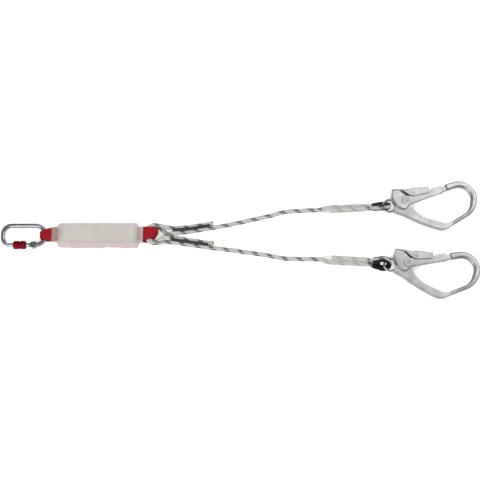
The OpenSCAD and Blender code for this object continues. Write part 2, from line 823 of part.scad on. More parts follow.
module hook_body(leg) {
    c = 2.5;
    web = 4;
    slot_top = nose_line[0][1] + nose_line[0][2] / 2 - web;
    cut_half = 30;
    cut_to = 120;
    tongue_slot_t = hook_tongue_t + 2 * seat_gap;
    color(alloy)
        placed_hook(leg)
            difference() {
                union() {
                    hook_eye_ring();
                    hook_bow();
                    plate(rounded(arm_outline, 7), hook_arm_t);
                    plate(rounded(block_outline, 5), hook_block_t);
                    pin_hole(gate_pin, 2 * hub_r, hook_boss_t);
                    hook_bar(heel_line);
                    on_gate()
                        hook_bar(nose_line);
                }
                // Eye hole with a chamfered mouth on each side
                cylinder(r = hook_eye_r, h = 2 * hook_block_t, center = true);
                for (s = [-1, 1])
                    translate([0, 0, s * (hook_eye_t / 2 - c)])
                        mirror([0, 0, s < 0 ? 1 : 0])
                            cylinder(r1 = hook_eye_r, r2 = hook_eye_r + 2 * c, h = 2 * c);
                // Slot in which the gate turns
                on_gate()
                    plate(gate_slot_outline(), gate_slot_t);
                pin_hole(gate_pin, hook_pin_d + 2 * pin_gap, 2 * hook_block_t);
                // Face of the nose and the slot for the gate's tongue
                intersection() {
                    pin_hole(gate_pin, 2 * nose_face_r, 2 * hook_t);
                    on_gate()
                        plate([[60, -cut_half], [cut_to, -cut_half], [cut_to, cut_half], [60, cut_half]],
                              2 * hook_t);
                    translate([100, 0, -hook_t])
                        cube([60, 100, 2 * hook_t]);
                }
                intersection() {
                    pin_hole(gate_pin, 2 * (tongue_end_r + 0.5), tongue_slot_t);
                    on_gate()
                        plate([[95, -cut_half], [cut_to, -cut_half], [cut_to, slot_top], [95, slot_top]],
                              2 * tongue_slot_t);
                }
            }
}

module hook_gate(leg) {
    color(alloy)
        placed_hook(leg)
            difference() {
                union() {
                    intersection() {
                        on_gate()
                            plate(gate_outline, hook_gate_t);
                        pin_hole(gate_pin, 2 * gate_end_r, 2 * hook_gate_t);
                    }
                    intersection() {
                        on_gate()
                            plate(tongue_outline, hook_tongue_t);
                        pin_hole(gate_pin, 2 * tongue_end_r, 2 * hook_gate_t);
                    }
                    pin_hole(gate_pin, 2 * hub_r, gate_hub_t);
                    pin_hole(lever_pin, 2 * ear_r, gate_hub_t);
                }
                pin_hole(gate_pin, hook_pin_d + 2 * pin_gap, 2 * hook_gate_t);
                pin_hole(lever_pin, lever_pin_d + 2 * pin_gap, 2 * hook_gate_t);
                // Pockets for the springs
                pin_hole(gate_pin, gate_spring_pocket[0], gate_spring_pocket[1]);
                pin_hole(lever_pin, lever_spring_pocket[0], lever_spring_pocket[1]);
            }
}

module hook_lock_lever(leg) {
    color(alloy)
        placed_hook(leg)
            difference() {
                union() {
                    plate(rounded(lever_cheek, 3), 2 * lever_half);
                    pin_hole(lever_pin, lever_boss_d, lever_boss_t);
                }
                // Channel between the cheeks, under the ridge
                difference() {
                    plate([[0, 0], [120, 0], [120, 60], [0, 60]], gate_slot_t);
                    plate(strip(lever_ridge, 2 * lever_t), 4 * lever_half);
                }
                pin_hole(lever_pin, lever_pin_d + 2 * pin_gap, 4 * lever_half);
            }
}

// Riveted pin with a head on each side of a stack of the given thickness
module rivet(p, d, stack, head_d, head_t) {
    pin_hole(p, d, stack + 2 * head_t);
    for (s = [-1, 1])
        translate([p[0], p[1], s * (stack / 2 + head_t / 2)])
            cylinder(d = head_d, h = head_t, center = true);
}

module hook_gate_pin(leg) {
    color(steel)
        placed_hook(leg)
            rivet(gate_pin, hook_pin_d, hook_boss_t, hook_pin_d + 3, 1);
}

module hook_lever_pin(leg) {
    color(steel)
        placed_hook(leg)
            rivet(lever_pin, lever_pin_d, lever_boss_t + 0.2, lever_pin_d + 2.4, 0.8);
}

module hook_gate_spring(leg) {
    color(steel)
        placed_hook(leg)
            translate([gate_pin[0], gate_pin[1], 0])
                torsion_spring(hook_pin_d / 2 + hook_wire / 2 + 0.6, hook_wire, 3);
}

module hook_lever_spring(leg) {
    color(steel)
        placed_hook(leg)
            translate([lever_pin[0], lever_pin[1], 0])
                torsion_spring(lever_pin_d / 2 + lever_wire / 2 + 0.6, lever_wire, 3);
}

absorber_cover();
tear_webbing();
backup_webbing();
label_card();
harness_loop();
harness_loop_stitching();
leg_loop();
leg_loop_stitching();
connector_frame();
connector_gate();
connector_screw_sleeve();
connector_gate_pin();
connector_gate_spring();
leg_eye(UPPER);  // upper_leg_eye
leg_rope(UPPER);  // upper_leg_rope
leg_stitching(UPPER);  // upper_leg_stitching
leg_hook_bight(UPPER);  // upper_leg_hook_bight
leg_hook_stitching(UPPER);  // upper_leg_hook_stitching
leg_shrink_sleeve(UPPER);  // upper_leg_shrink_sleeve
leg_thimble(UPPER);  // upper_leg_thimble
leg_eye(LOWER);  // lower_leg_eye
leg_rope(LOWER);  // lower_leg_rope
leg_stitching(LOWER);  // lower_leg_stitching
leg_hook_bight(LOWER);  // lower_leg_hook_bight
leg_hook_stitching(LOWER);  // lower_leg_hook_stitching
leg_shrink_sleeve(LOWER);  // lower_leg_shrink_sleeve
leg_thimble(LOWER);  // lower_leg_thimble
hook_body(UPPER);  // upper_hook_body
hook_gate(UPPER);  // upper_hook_gate
hook_lock_lever(UPPER);  // upper_hook_lock_lever
hook_gate_pin(UPPER);  // upper_hook_gate_pin
hook_lever_pin(UPPER);  // upper_hook_lever_pin
hook_gate_spring(UPPER);  // upper_hook_gate_spring
hook_lever_spring(UPPER);  // upper_hook_lever_spring
hook_body(LOWER);  // lower_hook_body
hook_gate(LOWER);  // lower_hook_gate
hook_lock_lever(LOWER);  // lower_hook_lock_lever
hook_gate_pin(LOWER);  // lower_hook_gate_pin
hook_lever_pin(LOWER);  // lower_hook_lever_pin
hook_gate_spring(LOWER);  // lower_hook_gate_spring
hook_lever_spring(LOWER);  // lower_hook_lever_spring
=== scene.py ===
"""Twin-leg shock absorbing lanyard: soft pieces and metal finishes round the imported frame."""

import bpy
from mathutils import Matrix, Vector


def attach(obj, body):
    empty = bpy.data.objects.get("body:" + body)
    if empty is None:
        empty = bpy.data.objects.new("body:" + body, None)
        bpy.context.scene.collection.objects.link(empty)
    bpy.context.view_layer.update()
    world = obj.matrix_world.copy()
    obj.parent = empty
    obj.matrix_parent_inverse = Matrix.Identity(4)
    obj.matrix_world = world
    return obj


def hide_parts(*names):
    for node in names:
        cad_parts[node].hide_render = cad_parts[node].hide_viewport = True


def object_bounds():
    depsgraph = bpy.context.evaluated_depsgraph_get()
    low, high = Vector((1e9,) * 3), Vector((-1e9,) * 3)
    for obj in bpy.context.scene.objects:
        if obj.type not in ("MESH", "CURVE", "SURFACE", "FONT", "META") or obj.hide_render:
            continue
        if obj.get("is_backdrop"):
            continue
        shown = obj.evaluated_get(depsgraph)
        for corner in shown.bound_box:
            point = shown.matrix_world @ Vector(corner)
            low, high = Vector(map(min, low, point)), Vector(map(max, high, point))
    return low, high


bl_info = {
    "name": "Shock absorbing lanyard",
    "version": (1, 0, 0),
    "blender": (4, 5, 0),
    "location": "3D View > Sidebar > Lanyard",
    "description": "Dresses the frame of a twin-leg lanyard with film, webbing, rope and metal finishes",
    "category": "Add Mesh",
}

from math import acos, atan2, ceil, cos, floor, pi, radians, sin, sqrt

import bmesh
import bpy
from bpy.props import FloatProperty, FloatVectorProperty, IntProperty, PointerProperty
from bpy.types import Operator, Panel, PropertyGroup
from mathutils import Vector

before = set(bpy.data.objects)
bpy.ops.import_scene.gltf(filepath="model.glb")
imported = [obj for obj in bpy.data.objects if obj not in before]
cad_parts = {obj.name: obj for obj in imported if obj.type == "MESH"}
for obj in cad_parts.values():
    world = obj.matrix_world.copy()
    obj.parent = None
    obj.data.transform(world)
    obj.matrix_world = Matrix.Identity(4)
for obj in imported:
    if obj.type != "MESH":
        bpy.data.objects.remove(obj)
CAD_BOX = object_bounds()

# Shapes are worked out in millimetres, in the frame of the part's source
MM = 0.001
UP = Vector((0, 0, 1))
ACROSS = Vector((0, 1, 0))
LEGS = ("upper", "lower")
LEG_SIDE = {"upper": 1, "lower": -1}

# Absorber pack, and the gathered necks of its film: levels at each neck and at its flared mouth
PACK_HALF = 95
PACK_TOP_HALF = 23
PACK_BASE_FRONT = -29
PACK_HEIGHT = 40
PACK_GIRTH = 180
LEFT_SLOPE = 0.2
NECK_HALF_WIDTH = 18.4
NECK_REACH = 11.5
HARNESS_NECK = (14.05, 21.95)
HARNESS_FLARE = (12.2, 22.4)
LEG_NECK = (6, 28)
LEG_FLARE = (5.4, 28.4)
CARD_Z = 35.6

# Webbing levels, folds and loops
WEAVE_WIDTH = 35
FOLDED_HALF = 18.6
PLY_STEP = 2.7
FOLD_PITCH = 3.0
HARNESS_Z = 18
LEG_LOOP_Z = 18.6
BACKUP_Z = 1.5
TEAR_Z = 21.35
FOLDED_LENGTH = 183.6
LOOP_TAIL = 28
HARNESS_TURN = (-125.2, 10)
HARNESS_TURN_RADIUS = 8.8
HARNESS_MOUTH_X = -104.8
HARNESS_FOLD_HALF = 11.75
LEG_MOUTH_X = 97.5
LEG_OPEN_X = 112
LEG_FOLD_X = 140
LEG_FOLD_RADIUS = 5
LEG_TOP_Z = 28.1
LEG_BASE_Z = 3.1

# Rope eyes in the webbing, and the sewn pair behind each
EYE_CENTRE = Vector((134, 1.5))
EYE_RADIUS = 20
EYE_LEVEL = {"upper": 21.2, "lower": 10.0}
SLOPE = {"upper": (160, 220), "lower": (145, 185)}
PAIR_START = {"upper": Vector((173, 3.2)), "lower": Vector((169, -15))}
PAIR_END = {"upper": Vector((264, 19)), "lower": Vector((262, -28.5))}
STITCHED = {"upper": (0.035, 0.99), "lower": (0.0, 0.95)}
PAIR_STEP = 10.9
TAIL_OVER = 8

# Free run of each leg, lying on the table: shares of its length and places across
RUN_END_X = 516
FREE_RUN = {
    "upper": (
        (0, 19), (0.1, 23.5), (0.2, 28.7), (0.3, 34.2), (0.4, 40), (0.5, 46), (0.58, 51), (0.635, 55.2),
        (0.68, 58.2), (0.73, 60), (0.82, 61.4), (0.91, 62.7), (1, 63.5),
    ),
    "lower": (
        (0, -28.5), (0.1, -31.8), (0.2, -35), (0.3, -38.7), (0.39, -42), (0.48, -45.3), (0.56, -48.8),
        (0.62, -51.9), (0.67, -54.3), (0.72, -55.4), (0.81, -55.9), (0.9, -56.3), (1, -56.8),
    ),
}

# Hook ends: middle of the two strands and gap between them
PAIR_OPEN = 2.2
PAIR_GAPS = (0, PAIR_OPEN, PAIR_STEP, PAIR_STEP, PAIR_STEP)
HOOK_PAIR = {
    "upper": ((RUN_END_X, 63.5), (524, 63.7), (545, 64.3), (588, 66.5), (630, 68.4)),
    "lower": ((RUN_END_X, -56.8), (524, -57.3), (545, -59.4), (588, -62), (628, -64.6)),
}

# Eye of each hook, and the thimble in it; the strands lie flatter in the sleeve and roll up to its lean
HOOK_EYE = {"upper": Vector((684, 70)), "lower": Vector((680.5, -73))}
BIGHT_HEADING = {"upper": radians(2.5), "lower": radians(-9)}
BIGHT_TILT = radians(60)
PAIR_TILT = radians(32)
PAIR_ROLL = (612, 648)
BIGHT_RADIUS = 14.9
BIGHT_CENTRE = -16.7
THIMBLE_TIP = (-40, 7.8)
THIMBLE_WALL = 1.6
TABLE_GAP = 0.1
ROPE_RADIUS = 5.4
SHRINK_GAP = 0.35
SHRINK_LIFT = 1.15
SHRINK_WALL = 0.75
HOOK_EYE_Z = ROPE_RADIUS + BIGHT_RADIUS * sin(BIGHT_TILT)


def length_of(name, description, default):
    return FloatProperty(name=name, description=description, default=default, unit="LENGTH")


def colour_of(name, description, default):
    return FloatVectorProperty(name=name, description=description, default=default, subtype="COLOR")


class LanyardSizes(PropertyGroup):
    """Sizes of the soft pieces, and the rounding of the forgings."""

    rope_strands: IntProperty(
        name="Rope strands", description="Strands of the sheath each way", default=12, min=6, max=16
    )
    fleck_pitch: length_of("Fleck pitch", "Distance between flecks along the rope", 0.0345)
    rope_relief: length_of("Rope relief", "Height of the strands in the sheath", 0.00045)
    webbing_thickness: length_of("Webbing thickness", "Thickness of the red webbing", 0.0022)
    webbing_width: length_of("Webbing width", "Width of the two loops", 0.0325)
    film_thickness: length_of("Film thickness", "Thickness of the cover's film", 0.0006)
    film_wrinkle: length_of("Film wrinkle", "Height of the waves in the film", 0.00035)
    thread_diameter: length_of("Thread diameter", "Diameter of the sewing thread", 0.0009)
    forging_round: IntProperty(
        name="Forging round", description="Passes that round the hooks' edges", default=10, min=0, max=40
    )


class LanyardColours(PropertyGroup):
    """Colours of the finishes."""

    webbing: colour_of("Webbing", "Red of the webbing", (0.37, 0.008, 0.017))
    sleeve: colour_of("Screw sleeve", "Red of the screw sleeve", (0.135, 0.005, 0.012))
    film: colour_of("Film", "Tint of the cover's film", (0.67, 0.625, 0.595))
    label: colour_of("Label card", "Colour of the bare card", (0.6, 0.585, 0.56))
    rope: colour_of("Rope", "Colour of the sheath", (0.53, 0.52, 0.5))
    fleck: colour_of("Rope fleck", "Colour of the marker strands", (0.03, 0.029, 0.03))
    thread: colour_of("Thread", "Colour of the stitching", (0.011, 0.009, 0.008))
    shrink: colour_of("Shrink sleeve", "Tint of the shrink sleeves", (0.7, 0.685, 0.65))
    thimble: colour_of("Thimble", "Colour of the thimbles", (0.004, 0.003, 0.0035))
    steel: colour_of("Plated steel", "Colour of the plated steel", (0.27, 0.275, 0.29))
    alloy: colour_of("Forged alloy", "Colour of the hooks", (0.35, 0.35, 0.36))


class LanyardStage(PropertyGroup):
    """Camera and table."""

    elevation: FloatProperty(
        name="Elevation", description="Camera's angle above the table", default=radians(74),
        subtype="ANGLE",
    )
    distance: length_of("Distance", "Camera's distance from the middle", 2.66)
    lens: FloatProperty(name="Lens", description="Focal length in mm", default=85, min=20, max=300)
    middle: FloatVectorProperty(
        name="Middle", description="Point on the table in the picture's centre", subtype="TRANSLATION",
        default=(0.3325, -0.0083, 0),
    )
    floor: colour_of("Floor", "Colour of the table", (0.94, 0.94, 0.94))


# Points and curves


def mix(a, b, t):
    return a + (b - a) * t


def shares(count):
    """Even steps from 0 to 1."""
    return [k / count for k in range(count + 1)]


def metres(distances):
    return [d * MM for d in distances]


def ease(t):
    """Smooth step from 0 to 1, level at both ends."""
    t = min(max(t, 0), 1)
    return t * t * (3 - 2 * t)


def round_turn(sides):
    """Angles of a full turn in even steps."""
    return [2 * pi * u for u in shares(sides)[:-1]]


def clamped(value):
    """The value, held between -1 and 1."""
    return max(-1, min(1, value))


def polar(centre, radius, angle):
    return Vector((centre[0] + radius * cos(angle), centre[1] + radius * sin(angle)))


def arc(centre, radius, start, end, steps):
    return [polar(centre, radius, mix(start, end, t)) for t in shares(steps)]


def touch(point, centre, radius, turn):
    """Angle at which a line from a point touches a circle, on the side that turn gives."""
    d = point - centre
    return atan2(d.y, d.x) + turn * acos(radius / d.length)


def bent(before, point, after, radius, steps):
    """Curve in place of the corner at a point."""
    s = point + (before - point).normalized() * min(radius, (before - point).length / 2.2)
    e = point + (after - point).normalized() * min(radius, (after - point).length / 2.2)
    return [s * (1 - t) ** 2 + point * 2 * t * (1 - t) + e * t * t for t in shares(steps)]


def smoothed(points, steps):
    """Curve through all the points."""
    p = [points[0] * 2 - points[1]] + list(points) + [points[-1] * 2 - points[-2]]
    out = []
    for i in range(1, len(p) - 2):
        a, b, c, d = p[i - 1 : i + 3]
        square = a * 2 - b * 5 + c * 4 - d
        cube = b * 3 - a - c * 3 + d
        for t in shares(steps)[:-1]:
            out.append((b * 2 + (c - a) * t + square * t * t + cube * t**3) / 2)
    return out + [points[-1].copy()]


def lengths(line):
    total = [0.0]
    for a, b in zip(line, line[1:]):
        total.append(total[-1] + (b - a).length)
    return total


def evenly(line, step):
    """The line again, with points a step apart."""
    run = lengths(line)
    count = max(2, ceil(run[-1] / step))
    out, k = [], 0
    for i in range(count + 1):
        s = run[-1] * i / count
        while k < len(run) - 2 and run[k + 1] < s:
            k += 1
        out.append(line[k].lerp(line[k + 1], (s - run[k]) / max(run[k + 1] - run[k], 1e-9)))
    return out


def directions(line, up):
    """Side and upward direction at each point of a line."""
    last = len(line) - 1
    out = []
    for i in range(last + 1):
        t = (line[min(i + 1, last)] - line[max(i - 1, 0)]).normalized()
        s = t.cross(up).normalized()
        out.append((s, s.cross(t)))
    return out


# Meshes and pieces


def loft(name, rings, around, along, capped=True):
    """Mesh through rings of points in millimetres; around and along give its UV."""
    n, m = len(rings[0]), len(rings)
    faces, uvs = [], []
    for i in range(m - 1):
        for j in range(n):
            k = (j + 1) % n
            faces.append((i * n + j, (i + 1) * n + j, (i + 1) * n + k, i * n + k))
            corners = ((j, i), (j, i + 1), (j + 1, i + 1), (j + 1, i))
            uvs += [w for a, b in corners for w in (around[a], along[b])]
    if capped:
        for ring, v in ((range(n), along[0]), (range(m * n - 1, (m - 1) * n - 1, -1), along[-1])):
            faces.append(tuple(ring))
            uvs += [w for k in range(n) for w in (around[k], v)]
    return mesh_of(name, [p * MM for ring in rings for p in ring], faces, uvs)


def mesh_of(name, points, faces, uvs):
    mesh = bpy.data.meshes.new(name)
    mesh.from_pydata([tuple(p) for p in points], [], faces)
    mesh.uv_layers.new(name="UVMap").data.foreach_set("uv", uvs)
    mesh.polygons.foreach_set("use_smooth", [True] * len(faces))
    shape = bmesh.new()
    shape.from_mesh(mesh)
    bmesh.ops.recalc_face_normals(shape, faces=shape.faces)
    shape.to_mesh(mesh)
    shape.free()
    return mesh


def piece(mesh, material, body, slot, *nodes):
    """Object of a mesh that rides on a body and stands for the named nodes."""
    obj = bpy.data.objects.new(mesh.name, mesh)
    bpy.context.scene.collection.objects.link(obj)
    mesh.materials.append(material)
    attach(obj, body)
    if nodes:
        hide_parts(*nodes)
    return obj


def dress(node, material):
    """Gives a node of the frame its finish."""
    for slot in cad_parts[node].material_slots:
        slot.material = material


def modifier(obj, name, kind, **values):
    m = obj.modifiers.new(name, kind)
    for key, value in values.items():
        setattr(m, key, value)


def joined(node):
    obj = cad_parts[node]
    modifier(obj, "joined", "WELD", merge_threshold=1e-6)
    return obj


def rounded_edges(node, width):
    """Breaks the sharp edges of a node of the frame."""
    flat, sharp = radians(1), radians(32)
    obj = joined(node)
    modifier(obj, "flat", "DECIMATE", decimate_type="DISSOLVE", angle_limit=flat)
    modifier(obj, "edges", "BEVEL", width=width, segments=3, limit_method="ANGLE", angle_limit=sharp)
    modifier(obj, "shading", "WEIGHTED_NORMAL", keep_sharp=False, weight=60)


def thread_tube(name, line, radius):
    """Plain round thread along a line."""
    sides = 6
    rings = [
        [p + (s * cos(a) + b * sin(a)) * radius for a in round_turn(sides)]
        for p, (s, b) in zip(line, directions(line, UP))
    ]
    return loft(name, rings, shares(sides), metres(lengths(line)))


# Finishes


class Nodes:
    """Node tree of a material or a world that is filled in step by step."""

    def __init__(self, owner):
        owner.use_nodes = True
        self.tree = owner.node_tree

    def set(self, node, values):
        for key, value in values.items():
            socket = node.inputs[key]
            if isinstance(value, bpy.types.NodeSocket):
                self.tree.links.new(value, socket)
            else:
                socket.default_value = (*value, 1) if socket.type == "RGBA" else value

    def node(self, kind, inputs=None, **values):
        n = self.tree.nodes.new("ShaderNode" + kind)
        for key, value in values.items():
            setattr(n, key, value)
        self.set(n, inputs or {})
        return n

    def math(self, operation, a, b=0.0):
        return self.node("Math", {0: a, 1: b}, operation=operation).outputs[0]

    def place(self, kind):
        return self.node("TexCoord").outputs[kind]

    def scaled(self, vector, x, y, z=1):
        return self.node("Mapping", {"Vector": vector, "Scale": (x, y, z)}).outputs["Vector"]

    def noise(self, vector, scale, detail=3.0, roughness=0.5):
        values = {"Vector": vector, "Scale": scale, "Detail": detail, "Roughness": roughness}
        return self.node("TexNoise", values).outputs["Fac"]

    def wave(self, vector, scale, direction, **more):
        values = {"Vector": vector, "Scale": scale, **more}
        return self.node("TexWave", values, bands_direction=direction).outputs["Fac"]

    def spread(self, value, low, high, start=0.3, end=0.7):
        """A value that runs from low to high where the given one runs from start to end."""
        limits = {"Value": value, "From Min": start, "From Max": end, "To Min": low, "To Max": high}
        return self.node("MapRange", limits).outputs["Result"]

    def blend(self, factor, a, b):
        return self.node("Mix", {"Factor": factor, 6: a, 7: b}, data_type="RGBA").outputs[2]


class Finish(Nodes):
    """Node material round one shader."""

    def __init__(self, name, colour, roughness, **sockets):
        self.material = bpy.data.materials.new(name)
        super().__init__(self.material)
        self.shader = self.tree.nodes["Principled BSDF"]
        self.set(self.shader, {"Base Color": colour, "Roughness": roughness, **sockets})

    def mottled(self, value, colour, low, high):
        """Colour whose shade runs from low to high with a value."""
        return self.blend(self.spread(value, 0, 1), shade(colour, low), shade(colour, high))

    def look(self, base, roughness):
        self.set(self.shader, {"Base Color": base, "Roughness": roughness})

    def bumped(self, height, strength, distance):
        """The finished material, with relief from a height."""
        values = {"Height": height, "Strength": strength, "Distance": distance}
        self.set(self.shader, {"Normal": self.node("Bump", values).outputs["Normal"]})
        return self.material


def shade(colour, factor):
    return tuple(min(1, c * factor) for c in colour)


def finish(name):
    """The material of that name, made on first use."""
    return bpy.data.materials.get(name) or FINISHES[name](bpy.context.scene.lanyard_colours, name)


def woven_webbing(colours, name):
    """Polyester webbing: ribs along it, picks across it, painted shade in the hollows of the weave, and a
    faint change of shade.
    """
    f = Finish(name, colours.webbing, 0.9, **{"Specular IOR Level": 0.18})
    uv = f.place("UV")
    ribs = f.wave(uv, 150.0, "X", Distortion=0.3)
    picks = f.wave(uv, 190.0, "Y", Distortion=0.4)
    weave_and_hollow_shade = f.math("MULTIPLY", ribs, f.spread(picks, 0.55, 1, 0, 1))
    wear = f.noise(f.scaled(uv, 60, 25), 1.0)
    base = f.mottled(wear, colours.webbing, 0.72, 1.2)
    # Hollows of the weave are painted darker: painted shade.
    f.look(f.blend(weave_and_hollow_shade, shade(colours.webbing, 0.6), base), f.spread(wear, 0.8, 0.95))
    return f.bumped(weave_and_hollow_shade, 0.6, 0.0005)


def braided_sheath(colours, name):
    """White sheath whose marker strands show as dark flecks where they pass over the others, with painted
    shade in the grooves between strands.
    """
    sizes = bpy.context.scene.lanyard_sizes
    markers = 4.0
    f = Finish(name, colours.rope, 0.8, **{"Sheen Weight": 0.1, "Sheen Roughness": 0.5})
    uv = f.node("SeparateXYZ", {"Vector": f.place("UV")})
    turns = f.math("MULTIPLY", uv.outputs["Y"], 1 / sizes.fleck_pitch)
    one = f.math("MULTIPLY", f.math("ADD", uv.outputs["X"], turns), sizes.rope_strands)
    two = f.math("MULTIPLY", f.math("SUBTRACT", uv.outputs["X"], turns), sizes.rope_strands)
    cell = f.math("ADD", f.math("FLOOR", one), f.math("FLOOR", two))
    rank = f.math("FLOORED_MODULO", cell, 4.0)
    over = f.math("LESS_THAN", rank, 3.0)
    swap = f.math("GREATER_THAN", rank, 1.5)
    part, other = f.math("FRACT", one), f.math("FRACT", two)
    width = f.math("ADD", part, f.math("MULTIPLY", swap, f.math("SUBTRACT", other, part)))
    # Darker where the strands meet: painted shade in the grooves of the braid.
    painted_groove_shade = f.spread(f.math("ABSOLUTE", f.math("SUBTRACT", width, 0.5)), 0, 0.6, 0.28, 0.5)
    strand = f.math("FLOORED_MODULO", one, sizes.rope_strands)
    marked = f.math("MULTIPLY", f.math("LESS_THAN", strand, markers), over)
    fibre = f.wave(f.place("UV"), 260.0, "DIAGONAL", Distortion=1.5, Detail=1.0)
    grime = f.noise(f.scaled(f.place("UV"), 5, 90), 1.0)
    white = f.mottled(grime, colours.rope, 0.82, 1.06)
    lit = f.blend(f.spread(fibre, 0, 0.35, 0, 1), white, shade(colours.rope, 0.6))
    yarn_with_groove_shade = f.blend(painted_groove_shade, lit, shade(colours.rope, 0.4))
    dark = f.blend(fibre, colours.fleck, shade(colours.fleck, 3))
    f.look(f.blend(marked, yarn_with_groove_shade, dark), f.spread(grime, 0.7, 0.9))
    return f.bumped(fibre, 0.35, 0.0002)


def twisted_thread(name, colour, light):
    """Twisted polyester thread with a dull shine; light is the factor of the painted highlight on its
    raised turns.
    """
    f = Finish(name, colour, 0.6, **{"Sheen Weight": 0.2, "Sheen Roughness": 0.4})
    twist_and_highlight = f.wave(f.scaled(f.place("UV"), 1, 900), 1.0, "DIAGONAL")
    # Raised turns are lighter by the factor light: a painted highlight.
    f.look(f.blend(twist_and_highlight, colour, shade(colour, light)), f.spread(twist_and_highlight, 0.5, 0.75, 0, 1))
    return f.bumped(twist_and_highlight, 0.4, 0.0002)


def dark_thread(colours, name):
    return twisted_thread(name, colours.thread, 3.5)


def pale_thread(colours, name):
    return twisted_thread(name, shade(colours.rope, 0.75), 1.3)


def milky_film(colours, name):
    """Clouded film: soft shine and fine creases, pinker towards the table, clearer at the two necks."""
    f = Finish(name, colours.film, 0.3, **{"Coat Weight": 0.25, "Coat Roughness": 0.15, "IOR": 1.5})
    along_pack = f.node("SeparateXYZ", {"Vector": f.place("UV")}).outputs["Y"]
    inner, outer, full = 0.0935, 0.097, 0.0945
    harness_neck = f.spread(along_pack, 0.22, 0.42, -outer, -inner)
    leg_neck = f.spread(along_pack, 0.42, 0.36, inner, outer)
    place = f.place("Object")
    height = f.node("SeparateXYZ", {"Vector": place}).outputs["Z"]
    on_pack = f.math("LESS_THAN", f.math("ABSOLUTE", along_pack), full)
    low = f.math("MULTIPLY", f.spread(height, 1, 0, 0.004, 0.036), on_pack)
    opacity = f.math("MINIMUM", harness_neck, leg_neck)
    f.set(f.shader, {"Alpha": f.math("ADD", opacity, f.math("MULTIPLY", low, 0.16))})
    cloud = f.noise(place, 38.0, 4.0)
    crease = f.noise(f.scaled(place, 60, 160, 220), 1.0, 4.0, 0.6)
    milk = f.mottled(cloud, colours.film, 0.95, 1.04)
    red, green, blue = shade(colours.film, 0.9)
    f.look(f.blend(low, milk, (red, green * 0.82, blue * 0.86)), f.spread(crease, 0.22, 0.42))
    return f.bumped(crease, 0.35, 0.0008)


def shrunk_tube(colours, name):
    """Cloudy shrink tube with fine rings left by the heat."""
    coat = {"Coat Weight": 0.2, "Coat Roughness": 0.2, "IOR": 1.5}
    f = Finish(name, colours.shrink, 0.35, Alpha=0.28, **coat)
    rings = f.noise(f.scaled(f.place("UV"), 3, 420), 1.0, 3.0)
    f.look(f.mottled(rings, colours.shrink, 0.94, 1.06), f.spread(rings, 0.28, 0.45))
    return f.bumped(rings, 0.15, 0.0004)


def bare_card(colours, name):
    """Plain card with paper fibres."""
    f = Finish(name, colours.label, 0.7)
    fibre = f.noise(f.scaled(f.place("UV"), 900, 260), 1.0, 4.0)
    f.look(f.mottled(fibre, colours.label, 0.93, 1.05), f.spread(fibre, 0.6, 0.8))
    return f.bumped(fibre, 0.15, 0.0002)


def moulded_black(colours, name):
    """Black moulded plastic with a fine grain."""
    f = Finish(name, colours.thimble, 0.4, **{"Specular IOR Level": 0.1})
    grain = f.noise(f.place("Object"), 900.0, 3.0)
    scuff = f.noise(f.place("Object"), 120.0, 4.0)
    f.look(f.mottled(scuff, colours.thimble, 1, 2.2), f.spread(scuff, 0.35, 0.5))
    return f.bumped(grain, 0.15, 0.0003)


def metal(name, colour, smooth, rough, grain, lines, depth, metallic=1.0, rim=1.2):
    """Metal: grain, drawn lines, cloudy patches, and edges whose colour is multiplied by rim: painted
    highlight where rim is above 1, painted shade where it is below 1.
    """
    f = Finish(name, colour, smooth, Metallic=metallic)
    place = f.place("Object")
    cloud = f.noise(place, grain, 4.0, 0.6)
    drawn = f.noise(f.scaled(place, lines, lines * 9, lines * 9), 1.0, 3.0)
    edge_painted_light_and_polish = f.spread(f.node("NewGeometry").outputs["Pointiness"], 0, 1, 0.51, 0.56)
    patch = f.mottled(f.noise(place, 45.0, 2.0), colour, 0.72, 1.12)
    base = f.blend(f.spread(cloud, 0, 0.3), patch, shade(colour, 0.8))
    worn = f.spread(f.math("ADD", cloud, drawn), smooth, rough, 0.7, 1.3)
    polished = f.math("SUBTRACT", worn, f.math("MULTIPLY", edge_painted_light_and_polish, 0.08))
    # Edges take the colour times rim: painted highlight on the steel and the red sleeve, painted shade on
    # the alloy hooks and levers.
    f.look(f.blend(edge_painted_light_and_polish, base, shade(colour, rim)), polished)
    return f.bumped(f.math("ADD", cloud, f.math("MULTIPLY", drawn, 0.5)), 0.25, depth)


def bright_steel(colours, name):
    # Edges lighter by the default rim: painted highlight.
    return metal(name, colours.steel, smooth=0.18, rough=0.32, grain=260, lines=40, depth=0.00015)


def tumbled_alloy(colours, name):
    # rim below 1 paints the edges darker: painted shade.
    wear = {"smooth": 0.3, "rough": 0.44, "metallic": 0.8, "rim": 0.42}
    return metal(name, colours.alloy, grain=420, lines=90, depth=0.0003, **wear)


def rolled_alloy(colours, name):
    # rim below 1 paints the edges darker: painted shade.
    wear = {"smooth": 0.36, "rough": 0.48, "metallic": 0.7, "rim": 0.5}
    return metal(name, shade(colours.alloy, 1.08), grain=90, lines=60, depth=0.00004, **wear)


def red_anodised(colours, name):
    # Edges lighter by the default rim: painted highlight.
    return metal(name, colours.sleeve, smooth=0.28, rough=0.42, grain=300, lines=60, depth=0.0002)


FINISHES = {
    make.__name__: make
    for make in (
        woven_webbing, braided_sheath, dark_thread, pale_thread, milky_film, shrunk_tube, bare_card,
        moulded_black, bright_steel, tumbled_alloy, rolled_alloy, red_anodised,
    )
}


# Rope


def strand_height(u, s, strands, pitch):
    """Height of the sheath at a turn u round the rope and a distance s along it, from 0 to 1."""
    a = strands * (u + s / pitch)
    b = strands * (u - s / pitch)
    rise = [sin(pi * (a - floor(a))), sin(pi * (b - floor(b)))]
    if (floor(a) + floor(b)) % 4 > 1:
        rise.reverse()
    return sqrt(max(rise[0], 0)) * (0.7 + 0.3 * rise[1])


